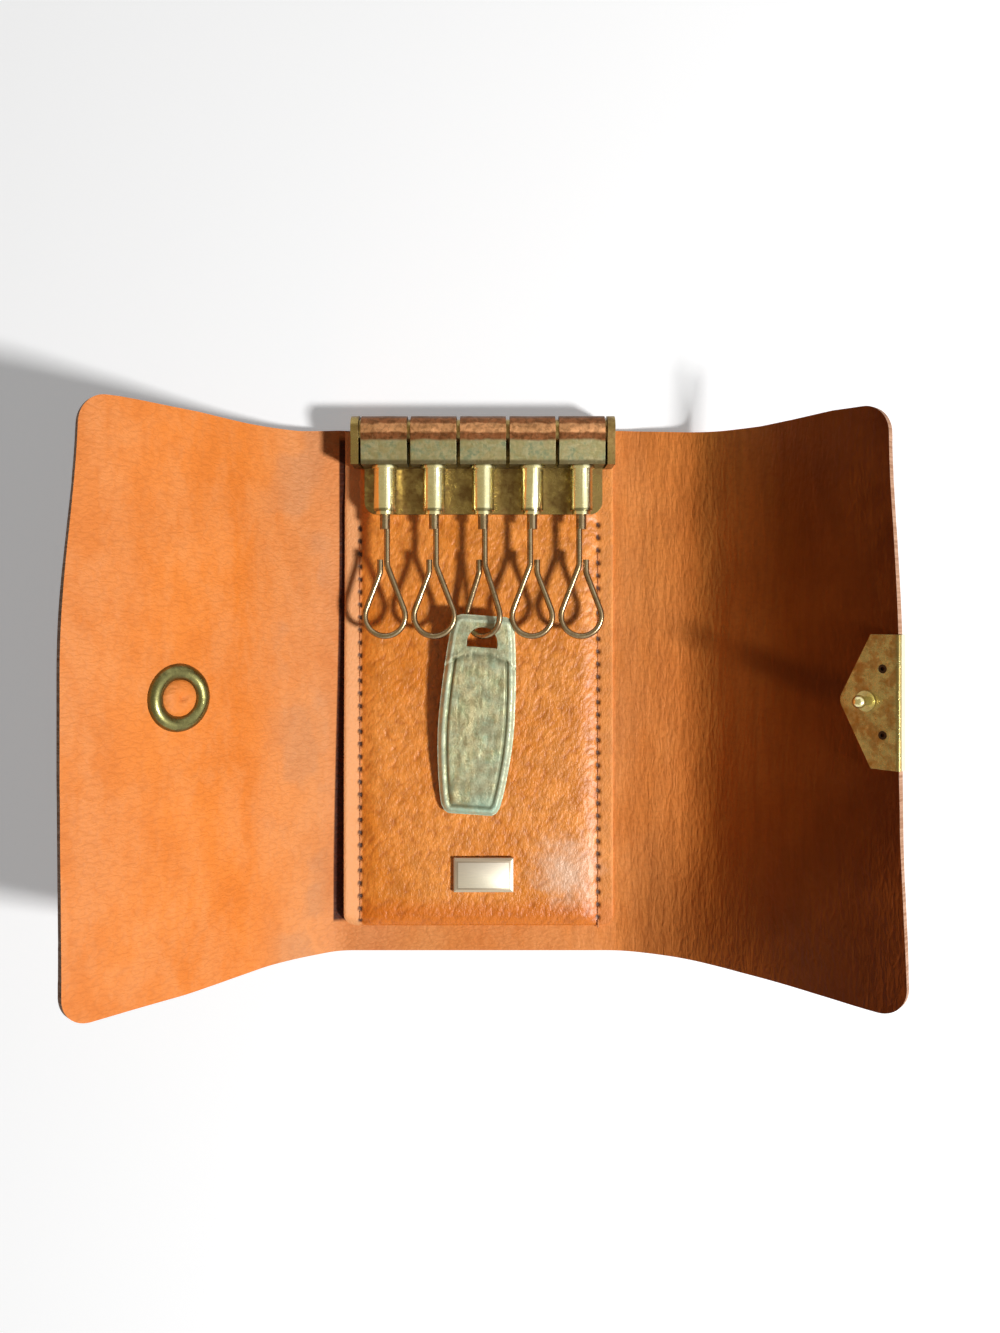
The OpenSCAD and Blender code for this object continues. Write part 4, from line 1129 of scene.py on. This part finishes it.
# The tag's front view in its own frame, in millimetres: half widths by depth below its top edge, then the bar
# over its eye, the eye, half its thickness, its lean in degrees, the gap to the panel, and the counts of its
# points
tagSizes = {
    "halfWidths": [
        (0, 4.3), (0.3, 5.1), (0.9, 5.8), (3, 6.3), (6.1, 6.65), (9.1, 6.95), (15.2, 7.35), (21.3, 7.55),
        (24.3, 7.5), (27.4, 7.33), (30.4, 7.05), (33.4, 6.7), (36.5, 6.25), (38.3, 5.85), (39.5, 5.2),
        (40, 4.3),
    ],
    "topDrop": 0.45, "length": 41.7, "bar": 2.7, "eyeHeight": 4, "eyeRadius": 2.95, "half": 0.5, "lean": 4.1,
    "restGap": 0.3, "rings": 76, "ringPower": 1.8, "around": 131, "rimPoints": 401, "sidePoints": 120,
    "softened": 9, "eyePoints": 24,
}
# Its relief: the bevelled rim, the groove inside it, the arched step with its ridge, the worn field and its
# strokes as (shift of x, shift of y, share of y), (size, height, seed), and the lip round the eye. A place is
# counted from the rim or down from the arch, and a fade is the length over which a shape comes in.
tagRelief = {
    "bevel": 0.95, "bevelDrop": 0.6, "groove": 1.75, "grooveDepth": 0.24, "grooveWidth": 0.3,
    "grooveTop": -0.5, "grooveFade": 0.8, "archTop": 7.7, "archRadius": 10, "ridge": 0.1,
    "ridgePlace": -0.45, "ridgeWidth": 0.4, "stepDepth": 0.24, "stepWidth": 1.1, "stepFade": 0.4,
    "stepInset": 1.4, "field": 0.1, "fieldLap": 0.1, "fieldFade": 0.5, "strokeHalf": 4.8, "strokeFade": 1.5,
    "strokes": [((40, 0, 0.28), (0.8, 0.06, 31)), ((20, 60, 1), (1.6, 0.07, 32))],
    "rimLap": 0.25, "rimFade": 0.3, "lip": 0.16, "lipWidth": 0.5,
}


def evenLoop(half, fractions):
    # a right half from the top's middle to the foot's, mirrored, with points at those shares of its length
    run = np.concatenate([[0], np.cumsum(np.hypot(*np.diff(half, axis=0).T))])
    x, y = [np.interp(fractions * run[-1], run, half[:, k]) for k in (0, 1)]
    return np.concatenate([np.stack([x, y], -1), np.stack([-x, y], -1)[-2:0:-1]])


def tagHeights(x, y, inset):
    # bevelled rim, a groove inside it, a ridge over an arched step, and a worn streaky field below that;
    # groove, ridge and step each fall off as a bell from their own line
    cut = tagRelief
    radius = cut["archRadius"]
    arch = -cut["archTop"] - radius + np.sqrt(np.maximum(radius**2 - x**2, 1))
    below = arch - y
    groove = np.exp(-((inset - cut["groove"]) / cut["grooveWidth"])**2)
    groove *= ease((below - cut["grooveTop"]) / cut["grooveFade"])
    ridge = np.exp(-((below - cut["ridgePlace"]) / cut["ridgeWidth"])**2)
    step = np.exp(-(np.maximum(below, 0) / cut["stepWidth"])**2) * ease(below / cut["stepFade"])
    strokes = sum(
        softNoise(x + shiftX, y * share + shiftY, *wave) for (shiftX, shiftY, share), wave in cut["strokes"]
    )
    field = ease(below / cut["fieldFade"])
    field = field * ease((inset - cut["groove"] - cut["fieldLap"]) / cut["fieldFade"])
    worn = (cut["field"] + strokes * ease((cut["strokeHalf"] - np.abs(x)) / cut["strokeFade"])) * field
    height = tagSizes["half"] - cut["bevelDrop"] * (1 - ease(inset / cut["bevel"])) + worn
    height += cut["ridge"] * ridge - cut["grooveDepth"] * groove - cut["stepDepth"] * step
    dark = groove + step * ease((inset - cut["stepInset"]) / cut["stepFade"])
    return height, dark, ease((cut["groove"] - cut["rimLap"] - inset) / cut["rimFade"])


def tagOutline(sizes):
    # the right half of the outline, its widths softened except at the rounded ends
    depths, halves = np.array(sizes["halfWidths"]).T
    depth = np.unique(np.concatenate([np.linspace(0, depths[-1], sizes["sidePoints"]), depths]))
    width = np.interp(depth, depths, halves)
    count = sizes["softened"]
    middle = slice(count - 1, 1 - count)
    width[middle] = np.convolve(width, np.ones(count) / count, "same")[middle]
    right = np.stack([width, -depth - sizes["topDrop"]], -1)
    return np.concatenate([[[0, right[0, 1]]], right, [[0, right[-1, 1]]]])


def tagEye(sizes):
    # the right half of the eye: a quarter circle under the bar, then straight down and across
    r, top = sizes["eyeRadius"], -sizes["bar"]
    turn = np.linspace(0, math.pi / 2, sizes["eyePoints"])
    arc = np.stack([r * np.sin(turn), top - r + r * np.cos(turn)], -1)
    return np.concatenate([arc, [[r, top - sizes["eyeHeight"]], [0, top - sizes["eyeHeight"]]]])


def makeTag():
    # rings of points from the eye out to the outline: place = eye * (1 - share) + outline * share
    sizes = tagSizes
    right = tagOutline(sizes)
    fractions = np.linspace(0, 1, sizes["around"])
    eye, outline = evenLoop(tagEye(sizes), fractions), evenLoop(right, fractions)
    share = (1 - (1 - np.linspace(0, 1, sizes["rings"]))**sizes["ringPower"])[:, None, None]
    grid = eye[None] * (1 - share) + outline[None] * share
    x, y = grid[..., 0], grid[..., 1]
    rim = evenLoop(right, np.linspace(0, 1, sizes["rimPoints"]))
    inset = np.stack([np.hypot(x - p[0], y - p[1]) for p in rim]).min(0)
    height, dark, rimShare = tagHeights(x, y, inset)
    fromEye = np.hypot(x - eye[None, :, 0], y - eye[None, :, 1])
    height -= tagRelief["lip"] * (1 - ease(fromEye / tagRelief["lipWidth"]))
    rows, columns = x.shape
    count = rows * columns
    faceSides = [np.stack([x, y, z], -1).reshape(-1, 3) for z in (height, 0 * x - sizes["half"])]
    # the front and the back, and the walls at the eye and at the outline
    front = gridFaces(rows, columns, closed=True)
    around = np.arange(columns)
    after = (around + 1) % columns
    inner = np.stack([around, after, after + count, around + count], -1)
    outer = inner[:, ::-1] + count - columns
    faces = np.concatenate([front, front[:, ::-1] + count, inner, outer])
    # from the tag's own frame to its place: half the bar up, the lean, the tilt down to the panel, the pivot
    pivot = jointPlace["tag_swing"]
    drop = pivot.z - panelBox[1].z - sizes["restGap"] - sizes["half"]
    tilt = Matrix.Rotation(math.asin(drop / (sizes["length"] - sizes["bar"] / 2)), 3, "X")
    turned = np.array(tilt @ Matrix.Rotation(-math.radians(sizes["lean"]), 3, "Z"))
    points = (np.concatenate(faceSides) + [0, sizes["bar"] / 2, 0]) @ turned.T + np.array(pivot)
    piece = makeMesh("tag_worn", points * mm, faces, finishes["verdigris"])
    addValues(piece, {"groove": np.clip(dark, 0, 1), "rim": rimShare})
    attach(piece, "key_tag")
    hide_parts("tag")


makeTag()
print("tag made")

# Finish of each CAD node that stays as it is, and the width of its worn edges in millimetres
nodeFinish = {
    "mounting_plate": ("plateBrass", 0.18), "plate_rivets": ("plateBrass", 0.05),
    "hinge_rod": ("plateBrass", 0.05), "clasp_plate": ("claspBrass", 0.1), "clasp_rivets": ("rivetHoleShade", 0),
    "snap_stud": ("studBrass", 0), "snap_ring": ("ringBrass", 0), "snap_socket": ("ringBrass", 0),
    "socket_spring": ("springSteel", 0), "tag": ("verdigris", 0), "label_plate": ("nickel", 0.1),
    "panel_stiffener": ("board", 0),
}
for n in range(1, 6):
    nodeFinish |= {
        f"strap_{n}": ("strap", 0.16), f"barrel_{n}": ("barrelBrass", 0.04), f"hook_{n}": ("wireBrass", 0),
    }
edgeSizes = {"merge": 0.002, "flat": math.radians(0.6), "sharp": math.radians(35), "segments": 2}

bodyOf = {n: b for b, ns in frame["record"]["behaviour"]["bodies"].items() for n in ns}


def wornCopy(name, finish, edge):
    # a merged copy of the node with its flat faces whole, so that the worn edges come out even
    sizes = edgeSizes
    shape = bmesh.new()
    shape.from_mesh(nodes[name].data)
    bmesh.ops.remove_doubles(shape, verts=shape.verts, dist=sizes["merge"] * mm)
    bmesh.ops.dissolve_limit(shape, angle_limit=sizes["flat"], verts=shape.verts, edges=shape.edges)
    plain = bpy.data.meshes.new(name + "_worn")
    shape.to_mesh(plain)
    shape.free()
    plain.polygons.foreach_set("use_smooth", np.full(len(plain.polygons), True))
    plain.update()
    plain.set_sharp_from_angle(angle=sizes["sharp"])
    plain.materials.clear()
    plain.materials.append(finish)
    piece = linkObject(name + "_worn", plain)
    bevel = piece.modifiers.new("edges", "BEVEL")
    bevel.width, bevel.segments, bevel.limit_method = edge * mm, sizes["segments"], "ANGLE"
    bevel.angle_limit = sizes["sharp"]
    bevel.harden_normals = True
    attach(piece, bodyOf[name])
    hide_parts(name)


for name, (finish, edge) in nodeFinish.items():
    nodes[name].data.materials.clear()
    nodes[name].data.materials.append(finishes[finish])
    if edge:
        wornCopy(name, finishes[finish], edge)
for name, node in nodes.items():
    if name.endswith(("_leather", "_lining")) or name == "key_panel":
        node.data.materials.clear()
        node.data.materials.append(finishes["lining"])
print("metal finished:", len(nodeFinish), "nodes")
